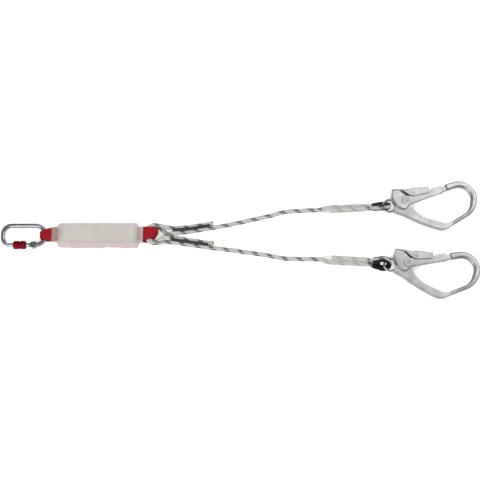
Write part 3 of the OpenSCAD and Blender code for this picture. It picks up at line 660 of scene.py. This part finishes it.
def rope_mesh(name, line, up, start, blunt=(False, False)):
    """Braided rope along a line, with a cut end where blunt says so; start is the distance already run."""
    sizes = bpy.context.scene.lanyard_sizes
    sides, step, rounding, cut_share = 48, 0.9, 3.0, 0.55
    relief, pitch, strands = sizes.rope_relief / MM, sizes.fleck_pitch / MM, sizes.rope_strands
    line = evenly(line, step)
    run = lengths(line)
    rings = []
    for p, s, (side, b) in zip(line, run, directions(line, up)):
        near = min(s if blunt[0] else rounding, run[-1] - s if blunt[1] else rounding, rounding) / rounding
        taper = mix(cut_share, 1, sqrt(max(1 - (1 - near) ** 2, 0)))
        ring = []
        for u in shares(sides)[:-1]:
            r = (ROPE_RADIUS - relief * (1 - strand_height(u, s + start, strands, pitch))) * taper
            ring.append(p + (side * cos(2 * pi * u) + b * sin(2 * pi * u)) * r)
        rings.append(ring)
    return loft(name, rings, shares(sides), metres(s + start for s in run))


def eye_height(leg, x):
    start, end = SLOPE[leg]
    return mix(EYE_LEVEL[leg], ROPE_RADIUS, ease((x - start) / (end - start)))


def pair_at(leg, t, off):
    d = (PAIR_END[leg] - PAIR_START[leg]).normalized()
    return PAIR_START[leg].lerp(PAIR_END[leg], t) + Vector((-d.y, d.x)) * off


def raised(leg, p):
    return Vector((p.x, p.y, eye_height(leg, p.x)))


def eye_line(leg):
    """From the start of the free run, round the eye and back along itself to the tail's end."""
    bend, bend_steps, turn_steps, pair_steps, straight = 14, 12, 60, 30, 0.75
    p, q = PAIR_START[leg], pair_at(leg, 0, PAIR_STEP)
    a0 = touch(p, EYE_CENTRE, EYE_RADIUS, -1)
    a1 = touch(q, EYE_CENTRE, EYE_RADIUS, 1)
    tail = 1 + TAIL_OVER / (PAIR_END[leg] - PAIR_START[leg]).length
    turn = arc(EYE_CENTRE, EYE_RADIUS, a0, a1 - 2 * pi, turn_steps)
    stations = [1 - straight * t for t in shares(pair_steps)]
    flat = [pair_at(leg, t, 0) for t in stations]
    flat += bent(flat[-1], p, turn[0], bend, bend_steps) + turn
    flat += bent(turn[-1], q, pair_at(leg, 1 - straight, PAIR_STEP), bend, bend_steps)
    flat += [pair_at(leg, t, PAIR_STEP) for t in stations[::-1] + [tail]]
    return [raised(leg, v) for v in flat]


def free_line(leg):
    start, steps = PAIR_END[leg].x, 24
    return smoothed([Vector((mix(start, RUN_END_X, t), y, ROPE_RADIUS)) for t, y in FREE_RUN[leg]], steps)


def along(leg):
    return Vector((cos(BIGHT_HEADING[leg]), sin(BIGHT_HEADING[leg]), 0))


def pair_tilt(x):
    """Lean of the two strands from the table, which rolls up to the thimble's."""
    start, end = PAIR_ROLL
    return mix(PAIR_TILT, BIGHT_TILT, ease((x - start) / (end - start)))


def across(leg, tilt=BIGHT_TILT):
    """Direction from strand to strand, or in the thimble's plane, that leans up from the table."""
    c = -LEG_SIDE[leg] * cos(tilt)
    return Vector((-c * sin(BIGHT_HEADING[leg]), c * cos(BIGHT_HEADING[leg]), sin(tilt)))


def square_to(leg, tilt=BIGHT_TILT):
    return along(leg).cross(across(leg, tilt))


def pair_height(gap, tilt=BIGHT_TILT):
    return ROPE_RADIUS + SHRINK_LIFT * min(gap / PAIR_OPEN, 1) + sin(tilt) * gap / 2


def hook_stations(leg):
    """Places of the two strands along the hook's end of a leg, each with the gap between them."""
    return [(x, y, gap) for (x, y), gap in zip(HOOK_PAIR[leg], PAIR_GAPS)]


def pair_middle(station):
    x, y, gap = station
    return Vector((x, y, pair_height(gap, pair_tilt(x))))


def strand_point(leg, station, side):
    x, _, gap = station
    return pair_middle(station) + across(leg, pair_tilt(x)) * side * gap / 2


def bight_turn(leg):
    """Rope's middle line round the thimble, from one tip to the other."""
    steps = 48
    x, half = THIMBLE_TIP
    drop = Vector((0, 0, HOOK_EYE_Z - pair_height(2 * half)))
    start = touch(Vector((x, -half)), Vector((BIGHT_CENTRE, 0)), BIGHT_RADIUS, 1)
    flat = arc((BIGHT_CENTRE, 0), BIGHT_RADIUS, start, -start, steps)
    eye = Vector((*HOOK_EYE[leg], HOOK_EYE_Z))
    turn = [eye + along(leg) * v.x + across(leg) * v.y for v in flat]
    tips = [eye - drop + along(leg) * x + across(leg) * s * half for s in (-1, 1)]
    return [tips[0]] + turn + [tips[1]]


def bight_line(leg):
    stations, steps = hook_stations(leg), 10
    turn = bight_turn(leg)
    out = [strand_point(leg, s, -1) for s in stations] + [turn[0], turn[1]]
    back = [turn[-2], turn[-1]] + [strand_point(leg, s, 1) for s in stations[:1:-1]]
    return smoothed(out, steps) + turn[2:-2] + smoothed(back, steps)


class LANYARD_OT_rope_legs(Operator):
    """Lay the braided ropes: the eye in the webbing, the free run, and the bight round the thimble"""

    bl_idname = "lanyard.rope_legs"
    bl_label = "Rope legs"

    def execute(self, context):
        sheath, path_step = finish("braided_sheath"), 6
        for leg in LEGS:
            body = leg + "_leg"
            eye, run, bight = eye_line(leg), free_line(leg), bight_line(leg)
            eye.reverse()
            laid = lengths(eye)[-1]
            mesh = rope_mesh(body + "_eye_rope", eye, UP, 0, (True, False))
            piece(mesh, sheath, body, "rope", body + "_eye")
            mesh = rope_mesh(body + "_free_rope", run, UP, laid)
            free = piece(mesh, sheath, body, "rope", body + "_rope")
            long = lengths(run)[-1]
            path = metres(evenly(run, path_step))
            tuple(path[0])
            mesh = rope_mesh(body + "_bight_rope", bight, square_to(leg), laid + long, (False, True))
            piece(mesh, sheath, body, "rope", body + "_hook_bight")
        return {"FINISHED"}


def zigzag(name, place, long, wide, pitch, radius, crown):
    """Thread that runs to and fro across a strip; place maps along, across and height to a point."""
    crossings, bends = max(2, int(long / pitch)), 5
    line = []
    for i in range(crossings):
        for t in shares(bends)[:-1]:
            y = (t - 0.5) * wide * (-1) ** i
            line.append(place((i + t) * pitch, y, crown * (1 - (2 * y / wide) ** 2)))
    return thread_tube(name, line, radius)


class LANYARD_OT_rope_stitching(Operator):
    """Sew the doubled ropes: a dense strip of thread on each pair of strands"""

    bl_idname = "lanyard.rope_stitching"
    bl_label = "Rope stitching"

    def execute(self, context):
        radius = context.scene.lanyard_sizes.thread_diameter / MM / 2
        for leg in LEGS:
            body = leg + "_leg"
            self.eye_strip(leg, body, finish("dark_thread"), radius)
            self.hook_strip(leg, body, finish("pale_thread"), radius)
        return {"FINISHED"}

    def eye_strip(self, leg, body, thread, radius):
        """Dense dark strip on top of the eye's sewn pair."""
        wide, pitch, clear, crown = 8.4, 0.75, 0.1, 0.3
        start, end = STITCHED[leg]
        pair = PAIR_END[leg] - PAIR_START[leg]
        d = pair.normalized()
        normal = Vector((-d.y, d.x, 0))

        def place(s, y, z):
            p = raised(leg, pair_at(leg, start + s / pair.length, PAIR_STEP / 2))
            return p + normal * y + UP * (ROPE_RADIUS + radius + clear + z)

        mesh = zigzag(body + "_eye_thread", place, (end - start) * pair.length, wide, pitch, radius, crown)
        piece(mesh, thread, body, "thread", body + "_stitching")

    def hook_strip(self, leg, body, thread, radius):
        """Pale strip in the furrow of the hook end's pair, under the sleeve."""
        wide, pitch, sunk, crown, end_gap, finer = 4.4, 1.6, 0.9, 0.12, 2, 0.8
        line = smoothed([pair_middle(station) for station in hook_stations(leg)[2:]], 8)
        run = lengths(line)

        def place(s, y, z):
            k = min(max(int(s / run[-1] * (len(line) - 1)), 0), len(line) - 2)
            p = line[k].lerp(line[k + 1], (s - run[k]) / (run[k + 1] - run[k]))
            tilt = pair_tilt(p.x)
            out = square_to(leg, tilt)
            if out.z < 0:
                out.negate()
            return p + across(leg, tilt) * y + out * (ROPE_RADIUS - sunk + z)

        mesh = zigzag(body + "_hook_thread", place, run[-1] - end_gap, wide, pitch, radius * finer, crown)
        piece(mesh, thread, body, "thread", body + "_hook_stitching")


class LANYARD_OT_hook_ends(Operator):
    """Finish the ropes' hook ends: shrink sleeve over the doubled rope, thimble in the bight"""

    bl_idname = "lanyard.hook_ends"
    bl_label = "Hook ends"

    def execute(self, context):
        for leg in LEGS:
            body = leg + "_leg"
            piece(self.sleeve(leg, body), finish("shrunk_tube"), body, "shrink", body + "_shrink_sleeve")
            piece(self.thimble(leg, body), finish("moulded_black"), body, "thimble", body + "_thimble")
            # Dark plate in the thimble's point: painted shade.
            piece(self.shade_plate(leg, body), finish("moulded_black"), body, "thimble")
        return {"FINISHED"}

    def sleeve(self, leg, body):
        """Skin round the two strands, drawn in between them and crimped by the heat."""
        inside, sides, step = ROPE_RADIUS + SHRINK_GAP, 56, 2.0
        flank, nip, fine_crimp, coarse_crimp = 2.2, 0.1, 0.07, 0.11
        stations = [Vector((*pair_middle(station), station[2])) for station in hook_stations(leg)[1:]]
        line = evenly(smoothed(stations, 12), step)
        run = lengths(line)
        outer, inner = [], []
        for station, s in zip(line, run):
            p, gap = station.to_3d(), station.w
            u, v = across(leg, pair_tilt(p.x)), square_to(leg, pair_tilt(p.x))
            crimp = coarse_crimp * sin(s * 0.9) + fine_crimp * sin(s * 2.3 + 1)
            ring_out, ring_in = [], []
            for a in round_turn(sides):
                side = clamped(flank * sin(a))
                radius = inside * (1 - nip * (1 - abs(side)) ** 2)
                q = p + u * (gap / 2 * side + radius * sin(a)) + v * radius * cos(a)
                skin = (u * sin(a) + v * cos(a)).normalized()
                ring_out.append(q + skin * (SHRINK_WALL + crimp * mix(cos(3 * a + s * 0.2), 1, 0.4)))
                ring_in.append(q)
            outer.append(ring_out)
            inner.append(ring_in)
        rings = outer + inner[::-1] + [outer[0]]
        along_sleeve = metres(run + run[::-1] + [0])
        return loft(body + "_shrink_tube", rings, shares(sides), along_sleeve, capped=False)

    def shade_plate(self, leg, body):
        """Black plate that fills the thimble's point, hollowed towards the eye of the hook; it stands for
        the shade inside the point.
        """
        tip, end, half_tip, half_end = THIMBLE_TIP[0], -23, 0.9, 6.4
        thick, hollow, flat_side, flat_top, sides, steps = 2.2, 0.45, 1.25, 1.6, 24, 10
        eye = Vector((*HOOK_EYE[leg], HOOK_EYE_Z))
        drop = HOOK_EYE_Z - pair_height(2 * THIMBLE_TIP[1])
        u, v = across(leg), square_to(leg)
        rings = []
        for t in shares(steps):
            middle = eye + along(leg) * mix(tip, end, t) - UP * drop * (1 - t)
            half, rise = u * mix(half_tip, half_end, t), v * thick * (1 - hollow * t * t)
            rings.append([
                middle + half * clamped(flat_side * cos(a)) + rise * clamped(flat_top * sin(a))
                for a in round_turn(sides)
            ])
        distance = metres(t * (end - tip) for t in shares(steps))
        return loft(body + "_thimble_shade_plate", rings, shares(sides), distance)

    def thimble(self, leg, body):
        """Channel round the inside of the bight, with rounded rims."""
        reach, seat_gap, cuts, rim_cuts, step = radians(120), 0.15, 16, 5, 1.2
        inside, first, last, half = ROPE_RADIUS + seat_gap, pi - reach, pi + reach, THIMBLE_WALL / 2
        rims = [polar((0, 0), inside + half, a) for a in (last, first)]
        profile = arc((0, 0), inside + THIMBLE_WALL, first, last, cuts)
        profile += arc(rims[0], half, last, last + pi, rim_cuts)[1:-1]
        profile += arc((0, 0), inside, last, first, cuts)
        profile += arc(rims[1], half, first + pi, first + 2 * pi, rim_cuts)[1:-1]
        line = evenly(bight_turn(leg), step)
        rings = [
            [p + s * q.x + b * q.y for q in profile]
            for p, (s, b) in zip(line, directions(line, square_to(leg)))
        ]
        for point in (v for ring in rings for v in ring):
            point.z = max(point.z, TABLE_GAP)
        return loft(body + "_thimble_channel", rings, shares(len(profile)), metres(lengths(line)))


# Webbing


def over_and_under(columns, wide):
    """UV round a flat strip: across its top and back under it."""
    over = metres(u * wide for u in shares(columns))
    return over + over[::-1] + [0]


def strap(name, line, edges, thickness):
    """Webbing along a line in the XZ plane; edges gives its two sides, a shift along X and a lift."""
    columns, thinner = 14, 0.35
    rings = []
    for p, (s, _) in zip(line, directions(line, ACROSS)):
        top, base = [], []
        for u in shares(columns):
            f = 2 * u - 1
            low, high, shift, lift = edges(p, f)
            half = thickness / 2 * (1 - thinner * abs(f) ** 9)
            q = Vector((p.x + shift, mix(low, high, u), p.z)) + s * lift
            top.append(q + s * half)
            base.append(q - s * half)
        rings.append(top + base[::-1])
    return loft(name, rings, over_and_under(columns, WEAVE_WIDTH), metres(lengths(line)))


def flat_line(points, step=1.2):
    return evenly([Vector((x, 0, z)) for x, z in points], step)


def harness_line():
    """Middle line of the webbing from tail to tail, round the connector."""
    bend, bend_steps, turn_steps = 5, 6, 40
    top, base = (Vector((HARNESS_MOUTH_X, HARNESS_Z + s * PLY_STEP / 2)) for s in (1, -1))
    centre = Vector(HARNESS_TURN)
    a0 = touch(top, centre, HARNESS_TURN_RADIUS, 1)
    a1 = touch(base, centre, HARNESS_TURN_RADIUS, -1) + 2 * pi
    turn = arc(centre, HARNESS_TURN_RADIUS, a0, a1, turn_steps)
    tail = HARNESS_MOUTH_X + LOOP_TAIL
    before = bent(Vector((tail, top.y)), top, turn[0], bend, bend_steps)
    after = bent(turn[-1], base, Vector((tail, base.y)), bend, bend_steps)
    return flat_line([(tail, top.y)] + before + turn + after + [(tail, base.y)])


def leg_loop_line():
    """Middle line of the webbing from tail to tail, round the two rope eyes."""
    bend, bend_steps, fold_steps = 4, 6, 10
    tail = LEG_MOUTH_X - LOOP_TAIL
    top, base = (LEG_LOOP_Z + s * PLY_STEP / 2 for s in (1, -1))
    c, r = LEG_FOLD_X - LEG_FOLD_RADIUS, LEG_FOLD_RADIUS
    lower = ((tail, base), (LEG_MOUTH_X, base), (LEG_OPEN_X, LEG_BASE_Z), (c, LEG_BASE_Z))
    upper = ((LEG_OPEN_X, LEG_TOP_Z), (LEG_MOUTH_X, top), (tail, top))
    points = [Vector(lower[0])]
    for point, after in zip(lower[1:], lower[2:]):
        points += bent(points[-1], Vector(point), Vector(after), bend, bend_steps)
    points += arc((c, LEG_BASE_Z + r), r, -pi / 2, 0, fold_steps)
    points += arc((c, LEG_TOP_Z - r), r, 0, pi / 2, fold_steps)
    for point, after in zip(upper, upper[1:]):
        points += bent(points[-1], Vector(point), Vector(after), bend, bend_steps)
    return flat_line(points + [upper[-1]])


def stepped(x, stations):
    """Value at x between stations of x and value."""
    for (a, va), (b, vb) in zip(stations, stations[1:]):
        if x <= b:
            return mix(va, vb, ease((x - a) / (b - a)))
    return stations[-1][1]


class LANYARD_OT_webbing_loops(Operator):
    """Fold the two red webbing loops and sew their tails"""

    bl_idname = "lanyard.webbing_loops"
    bl_label = "Webbing loops"

    def execute(self, context):
        sizes = context.scene.lanyard_sizes
        webbing, thread = finish("woven_webbing"), finish("dark_thread")
        thick, sewn, inset = sizes.webbing_thickness / MM, 16, 1
        self.half = sizes.webbing_width / MM / 2
        mesh = strap("harness_loop_strap", harness_line(), self.harness_edges, thick)
        piece(mesh, webbing, "absorber", "webbing", "harness_loop")
        mesh = strap("leg_loop_strap", leg_loop_line(), self.leg_edges, thick)
        piece(mesh, webbing, "absorber", "webbing", "leg_loop")
        radius = sizes.thread_diameter / MM / 3
        rise = PLY_STEP / 2 + thick / 2 + radius
        for loop, x, z in (
            ("harness_loop", HARNESS_MOUTH_X + LOOP_TAIL - sewn, HARNESS_Z + rise),
            ("leg_loop", LEG_MOUTH_X - LOOP_TAIL + inset, LEG_LOOP_Z - rise),
        ):
            mesh = self.rows(loop + "_thread", x, z, radius)
            piece(mesh, thread, "absorber", "thread", loop + "_stitching")
        return {"FINISHED"}

    def harness_edges(self, p, f):
        """Gathered round the connector, full width in the cover."""
        ripple, flat_below, full_rise = 0.5, 4, 6
        widths = (
            (-134.2, 8.5), (-131.5, 10.6), (-126, HARNESS_FOLD_HALF), (-113.5, self.half - 1.5),
            (-105, self.half),
        )
        half = stepped(p.x, widths)
        gathered = 1 - (half - HARNESS_FOLD_HALF) / (self.half - HARNESS_FOLD_HALF)
        rise = ease((p.z - flat_below) / full_rise)
        return -half, half, 0, -ripple * gathered * (1 + cos(3 * pi * f)) * rise

    def leg_edges(self, p, f):
        """Pulled in and skewed where the rope eyes hang in the fold."""
        start, eye_x, skew, square_y = 60, EYE_CENTRE.x, 0.55, 4.5
        places = (start, LEG_OPEN_X, eye_x, LEG_FOLD_X)
        half = stepped(p.x, tuple(zip(places, (self.half, self.half, 13.8, 11.8))))
        middle = stepped(p.x, tuple(zip(places, (0, 0, EYE_CENTRE.y, EYE_CENTRE.y))))
        fold = ease((p.x - LEG_OPEN_X) / (LEG_FOLD_X - LEG_OPEN_X))
        shift = -skew * max(0, square_y - middle - half * f) * fold
        return middle - half, middle + half, shift, 0

    def rows(self, name, x0, z, radius):
        """Rows of zigzag thread across the tail."""
        margin, rows, row_step, stitches, zigzags = 4, 5, 3.4, 18, (0.2, 2.2)
        wide = 2 * (self.half - margin)
        line = []
        for r in range(rows):
            for k, u in enumerate(shares(stitches)):
                y = (u - 0.5) * wide * (-1) ** r
                line.append(Vector((x0 + r * row_step + zigzags[k % 2], y, z)))
        return thread_tube(name, line, radius)


class LANYARD_OT_absorber_pack(Operator):
    """Fold the tear webbing and the back-up webbing, and lay the card on them"""

    bl_idname = "lanyard.absorber_pack"
    bl_label = "Absorber pack"

    def execute(self, context):
        webbing, thick = finish("woven_webbing"), context.scene.lanyard_sizes.webbing_thickness / MM
        for name, z, layers in (("tear_webbing", TEAR_Z, 5), ("backup_webbing", BACKUP_Z, 4)):
            mesh = self.folded(name + "_strap", z, layers, thick)
            piece(mesh, webbing, "absorber", "webbing", name)
        piece(self.card(), finish("bare_card"), "absorber", "card", "label_card")
        return {"FINISHED"}

    def folded(self, name, z0, layers, thick):
        """Webbing laid to and fro, with each edge a little out of line."""
        sway, slack, step, fold_steps = 0.35, 0.97, 2.5, 8
        far, z = FOLDED_LENGTH / 2 - FOLD_PITCH, z0 + thick / 2
        points = [(-far + LEFT_SLOPE * z, z)]
        for i in range(layers - 1):
            s = (-1) ** i
            level = z + (i + 0.5) * FOLD_PITCH
            x = far if s > 0 else -far + LEFT_SLOPE * level
            points += arc((x, level), FOLD_PITCH / 2, -pi / 2, (s - 0.5) * pi, fold_steps)
        level = z + (layers - 1) * FOLD_PITCH
        points.append((far if layers % 2 else -far + LEFT_SLOPE * level, level))

        def edges(p, f):
            off = sway * sin(p.x * 0.05 + p.z * 1.7)
            return off - FOLDED_HALF, off + FOLDED_HALF, 0, 0

        return strap(name, flat_line(points, step), edges, thick * slack)

    def card(self):
        """Bare card with a slight bow."""
        half, thick, margin, bow, wave = 19.5, 0.4, 9, 0.25, 0.1
        columns, rows = 12, shares(30)
        start, end = margin - PACK_HALF + LEFT_SLOPE * CARD_Z, PACK_HALF - margin
        rings = []
        for x in (mix(start, end, t) for t in rows):
            top, base = [], []
            for u in shares(columns):
                y = mix(-half, half, u)
                z = CARD_Z + bow * (1 - (y / half) ** 2) + wave * sin(x * 0.07) * cos(y * 0.2)
                top.append(Vector((x, y, z + thick)))
                base.append(Vector((x, y, z)))
            rings.append(top + base[::-1])
        distance = metres(t * (end - start) for t in rows)
        return loft("label_card_sheet", rings, over_and_under(columns, 2 * half), distance)


# Film


class LANYARD_OT_film_cover(Operator):
    """Wrap the pack in its clouded film, gathered round the loop at each end"""

    bl_idname = "lanyard.film_cover"
    bl_label = "Film cover"

    corner_steps = 5
    edge_steps = 22

    def execute(self, context):
        sizes = context.scene.lanyard_sizes
        stations = self.stations()
        rings = [self.ring(x, neck, size, sizes.film_wrinkle / MM) for x, neck, size in stations]
        around = metres(u * PACK_GIRTH for u in shares(len(rings[0])))
        along_pack = metres(x for x, neck, size in stations)
        mesh = loft("absorber_cover_film", rings, around, along_pack, capped=False)
        film = piece(mesh, finish("milky_film"), "absorber", "film", "absorber_cover")
        modifier(film, "skin", "SOLIDIFY", thickness=sizes.film_thickness, offset=-1.0)
        return {"FINISHED"}

    def stations(self):
        """Places along X, the neck that shapes each, and the share of the full section, from 0 to 1."""
        end = (
            (9.5, 0), (7.5, 0), (5, 0), (3, 0), (1.6, 0.02), (0.8, 0.06), (0.35, 0.16), (0.1, 0.34),
            (0, 0.54), (-0.3, 0.74), (-0.9, 0.88), (-2, 0.96), (-3.6, 1),
        )
        left = [(-PACK_HALF - d, HARNESS_NECK, size) for d, size in end]
        middle = [(x, HARNESS_NECK if x < 0 else LEG_NECK, 1) for x in range(-88, 90, 4)]
        right = [(PACK_HALF + d, LEG_NECK, size) for d, size in reversed(end)]
        reach = PACK_HALF + NECK_REACH
        return [(-reach, HARNESS_FLARE, 0)] + left + middle + right + [(reach, LEG_FLARE, 0)]

    def outline(self, corners, radius):
        """Points round four corners, with as many on each side."""
        corners = [Vector(corner) for corner in corners]
        curves = []
        for before, point, after in zip(corners[-1:] + corners, corners, corners[1:] + corners):
            curves.append(bent(before, point, after, radius, self.corner_steps))
        out = []
        for curve, following in zip(curves, curves[1:] + curves[:1]):
            gap = following[0] - curve[-1]
            out += curve + [curve[-1] + gap * t for t in shares(self.edge_steps)[1:-1]]
        return out

    def ring(self, x, neck, size, wrinkle):
        """Section of the film at x, between the gathered neck and the full pack."""
        base, lowest, pack_round, neck_round, pleats = 0.2, 0.05, 3.2, 3, 0.5
        low, high = neck
        half, wide = PACK_TOP_HALF, NECK_HALF_WIDTH
        front = PACK_BASE_FRONT + 1.2 * sin(x * 0.055 + 0.8) - 1.6 * ease(1 - abs(x - 6) / 26)
        slant = 0.27 * sin(x * 0.04 + 2)
        pack = ((front, base), (half, base), (half, PACK_HEIGHT), (slant - half, PACK_HEIGHT))
        tight = ((-wide, low), (wide, low), (wide, high), (-wide, high))
        pairs = zip(self.outline(pack, pack_round), self.outline(tight, neck_round))
        ring = []
        for k, (p, q) in enumerate(pairs):
            m = q.lerp(p, size)
            waves = sin(x * 0.21 + k * 0.35) + 0.7 * sin(x * 0.09 - k * 0.16 + 2)
            crease = wrinkle * waves * mix(0.35, 1, size)
            pleat = pleats * (1 - size) * sin(k * 1.1)
            out = (m - Vector((0, (low + high) / 2))).normalized()
            top = ease((m.y - PACK_HEIGHT + 6) / 6)
            m = m + out * (crease * (1 - 0.7 * top) + pleat - wrinkle)
            lean = LEFT_SLOPE * m.y * size * ease((-x - 60) / 35)
            ring.append(Vector((x + lean, m.x, max(m.y, lowest))))
        return ring


# Metal pieces


class LANYARD_OT_connector(Operator):
    """Finish the screw-gate connector"""

    bl_idname = "lanyard.connector"
    bl_label = "Connector"

    def execute(self, context):
        steel, red = finish("bright_steel"), finish("red_anodised")
        for node in ("frame", "gate", "gate_pin", "gate_spring"):
            dress("connector_" + node, steel)
        dress("connector_screw_sleeve", red)
        for node, width in (("frame", 0.0008), ("gate", 0.0005), ("screw_sleeve", 0.0004)):
            rounded_edges("connector_" + node, width)
        return {"FINISHED"}


class LANYARD_OT_scaffold_hooks(Operator):
    """Finish the two hooks: rounded forgings, sheet levers, pins and springs"""

    bl_idname = "lanyard.scaffold_hooks"
    bl_label = "Scaffold hooks"

    def execute(self, context):
        passes, pin_round = context.scene.lanyard_sizes.forging_round, 0.0003
        for leg in LEGS:
            hook = leg + "_hook_"
            for node, metal_finish, voxel, turns in (
                ("body", "tumbled_alloy", 0.0008, passes),
                ("gate", "tumbled_alloy", 0.0007, passes),
                ("lock_lever", "rolled_alloy", 0.0006, passes // 2),
            ):
                dress(hook + node, finish(metal_finish))
                obj = joined(hook + node)
                modifier(obj, "forging", "REMESH", mode="VOXEL", voxel_size=voxel, use_smooth_shade=True)
                modifier(obj, "rounding", "SMOOTH", factor=0.5, iterations=turns)
            for node in ("gate_pin", "lever_pin"):
                dress(hook + node, finish("tumbled_alloy"))
                rounded_edges(hook + node, pin_round)
            for node in ("gate_spring", "lever_spring"):
                dress(hook + node, finish("bright_steel"))
        return {"FINISHED"}


# Stage


class LANYARD_OT_stage(Operator):
    """Set the table, the soft light and the camera"""

    bl_idname = "lanyard.stage"
    bl_label = "Stage"

    def execute(self, context):
        stage = context.scene.lanyard_stage
        self.camera(context.scene, stage)
        self.table(context.scene, stage)
        self.light(context.scene)
        context.scene.view_settings.view_transform = "Standard"
        return {"FINISHED"}

    def aimed(self, scene, data, place, back):
        """Object of a camera or a light at a place, with its back turned in that direction."""
        obj = bpy.data.objects.new(data.name, data)
        obj.location = place
        obj.rotation_euler = back.to_track_quat("Z", "Y").to_euler()
        scene.collection.objects.link(obj)
        return obj

    def camera(self, scene, stage):
        data = bpy.data.cameras.new("camera")
        data.lens = stage.lens
        data.sensor_width = 36
        data.clip_end = 20
        back = Vector((0, -cos(stage.elevation), sin(stage.elevation)))
        scene.camera = self.aimed(scene, data, Vector(stage.middle) + back * stage.distance, back)

    def table(self, scene, stage):
        size, glow = 6, {"Emission Color": (1, 1, 1), "Emission Strength": 0.4}
        corners = [(x * size, y * size, 0) for x, y in ((-1, -1), (1, -1), (1, 1), (-1, 1))]
        mesh = bpy.data.meshes.new("table")
        mesh.from_pydata(corners, [], [(0, 1, 2, 3)])
        mesh.materials.append(Finish("pale_table", stage.floor, 0.9, **glow).material)
        obj = bpy.data.objects.new("table", mesh)
        scene.collection.objects.link(obj)
        obj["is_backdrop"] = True

    def light(self, scene):
        scene.world = self.surround()
        target = Vector((0.35, 0, 0))
        for name, place, size, power in (
            ("key", (-0.9, -1.4, 2.0), 1.8, 52),
            ("fill", (1.7, 0.9, 1.6), 1.5, 24),
            ("rim", (0.2, 1.8, 1.4), 1.0, 9),
        ):
            data = bpy.data.lights.new(name, "AREA")
            data.size = size
            data.energy = power
            self.aimed(scene, data, place, Vector(place) - target)

    def surround(self):
        """Studio with dim walls, a dark ceiling and back, brighter at the hooks' end of the table."""
        levels = ((0.0, 0.25), (0.4, 0.3), (0.7, 0.6), (0.86, 0.6), (0.94, 0.35), (1.0, 0.3))
        world = bpy.data.worlds.new("studio")
        nodes = Nodes(world)
        axes = nodes.node("SeparateXYZ", {"Vector": nodes.place("Generated")}).outputs
        height = nodes.node("ValToRGB", {"Fac": axes["Z"]})
        stops = height.color_ramp.elements
        while len(stops) < len(levels):
            stops.new(0.5)
        for stop, (place, level) in zip(stops, levels):
            stop.position = place
            stop.color = (level, level, level, 1)
        sideways = nodes.spread(axes["X"], 0.85, 1.6, -0.7, 0.9)
        backwards = nodes.spread(axes["Y"], 1.0, 0.35, 0.1, 0.8)
        strength = nodes.math("MULTIPLY", sideways, backwards)
        nodes.set(nodes.tree.nodes["Background"], {"Color": height.outputs["Color"], "Strength": strength})
        return world


# Panel and registration


class LANYARD_PT_build(Panel):
    """Build steps and settings of the lanyard"""

    bl_idname = "LANYARD_PT_build"
    bl_label = "Lanyard"
    bl_space_type = "VIEW_3D"
    bl_region_type = "UI"
    bl_category = "Lanyard"

    def draw(self, context):
        layout = self.layout
        for group in GROUPS:
            settings = getattr(context.scene, group)
            for key in settings.__annotations__:
                layout.prop(settings, key)
        for operator in OPERATORS:
            layout.operator(operator.bl_idname)


GROUPS = {
    "lanyard_sizes": LanyardSizes,
    "lanyard_colours": LanyardColours,
    "lanyard_stage": LanyardStage,
}
OPERATORS = (
    LANYARD_OT_stage,
    LANYARD_OT_rope_legs,
    LANYARD_OT_rope_stitching,
    LANYARD_OT_hook_ends,
    LANYARD_OT_webbing_loops,
    LANYARD_OT_absorber_pack,
    LANYARD_OT_film_cover,
    LANYARD_OT_connector,
    LANYARD_OT_scaffold_hooks,
)


def register():
    for cls in (*GROUPS.values(), *OPERATORS, LANYARD_PT_build):
        bpy.utils.register_class(cls)
    for name, group in GROUPS.items():
        setattr(bpy.types.Scene, name, PointerProperty(type=group))


def unregister():
    for name in GROUPS:
        delattr(bpy.types.Scene, name)
    for cls in (LANYARD_PT_build, *reversed(OPERATORS), *reversed(list(GROUPS.values()))):
        bpy.utils.unregister_class(cls)


def main():
    register()
    for operator in OPERATORS:
        getattr(bpy.ops.lanyard, operator.bl_idname.split(".")[1])()
    boxes = {"cad": CAD_BOX, "visual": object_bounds()}
    {key: [[float(x) for x in corner] for corner in box] for key, box in boxes.items()}


if __name__ == "__main__":
    main()
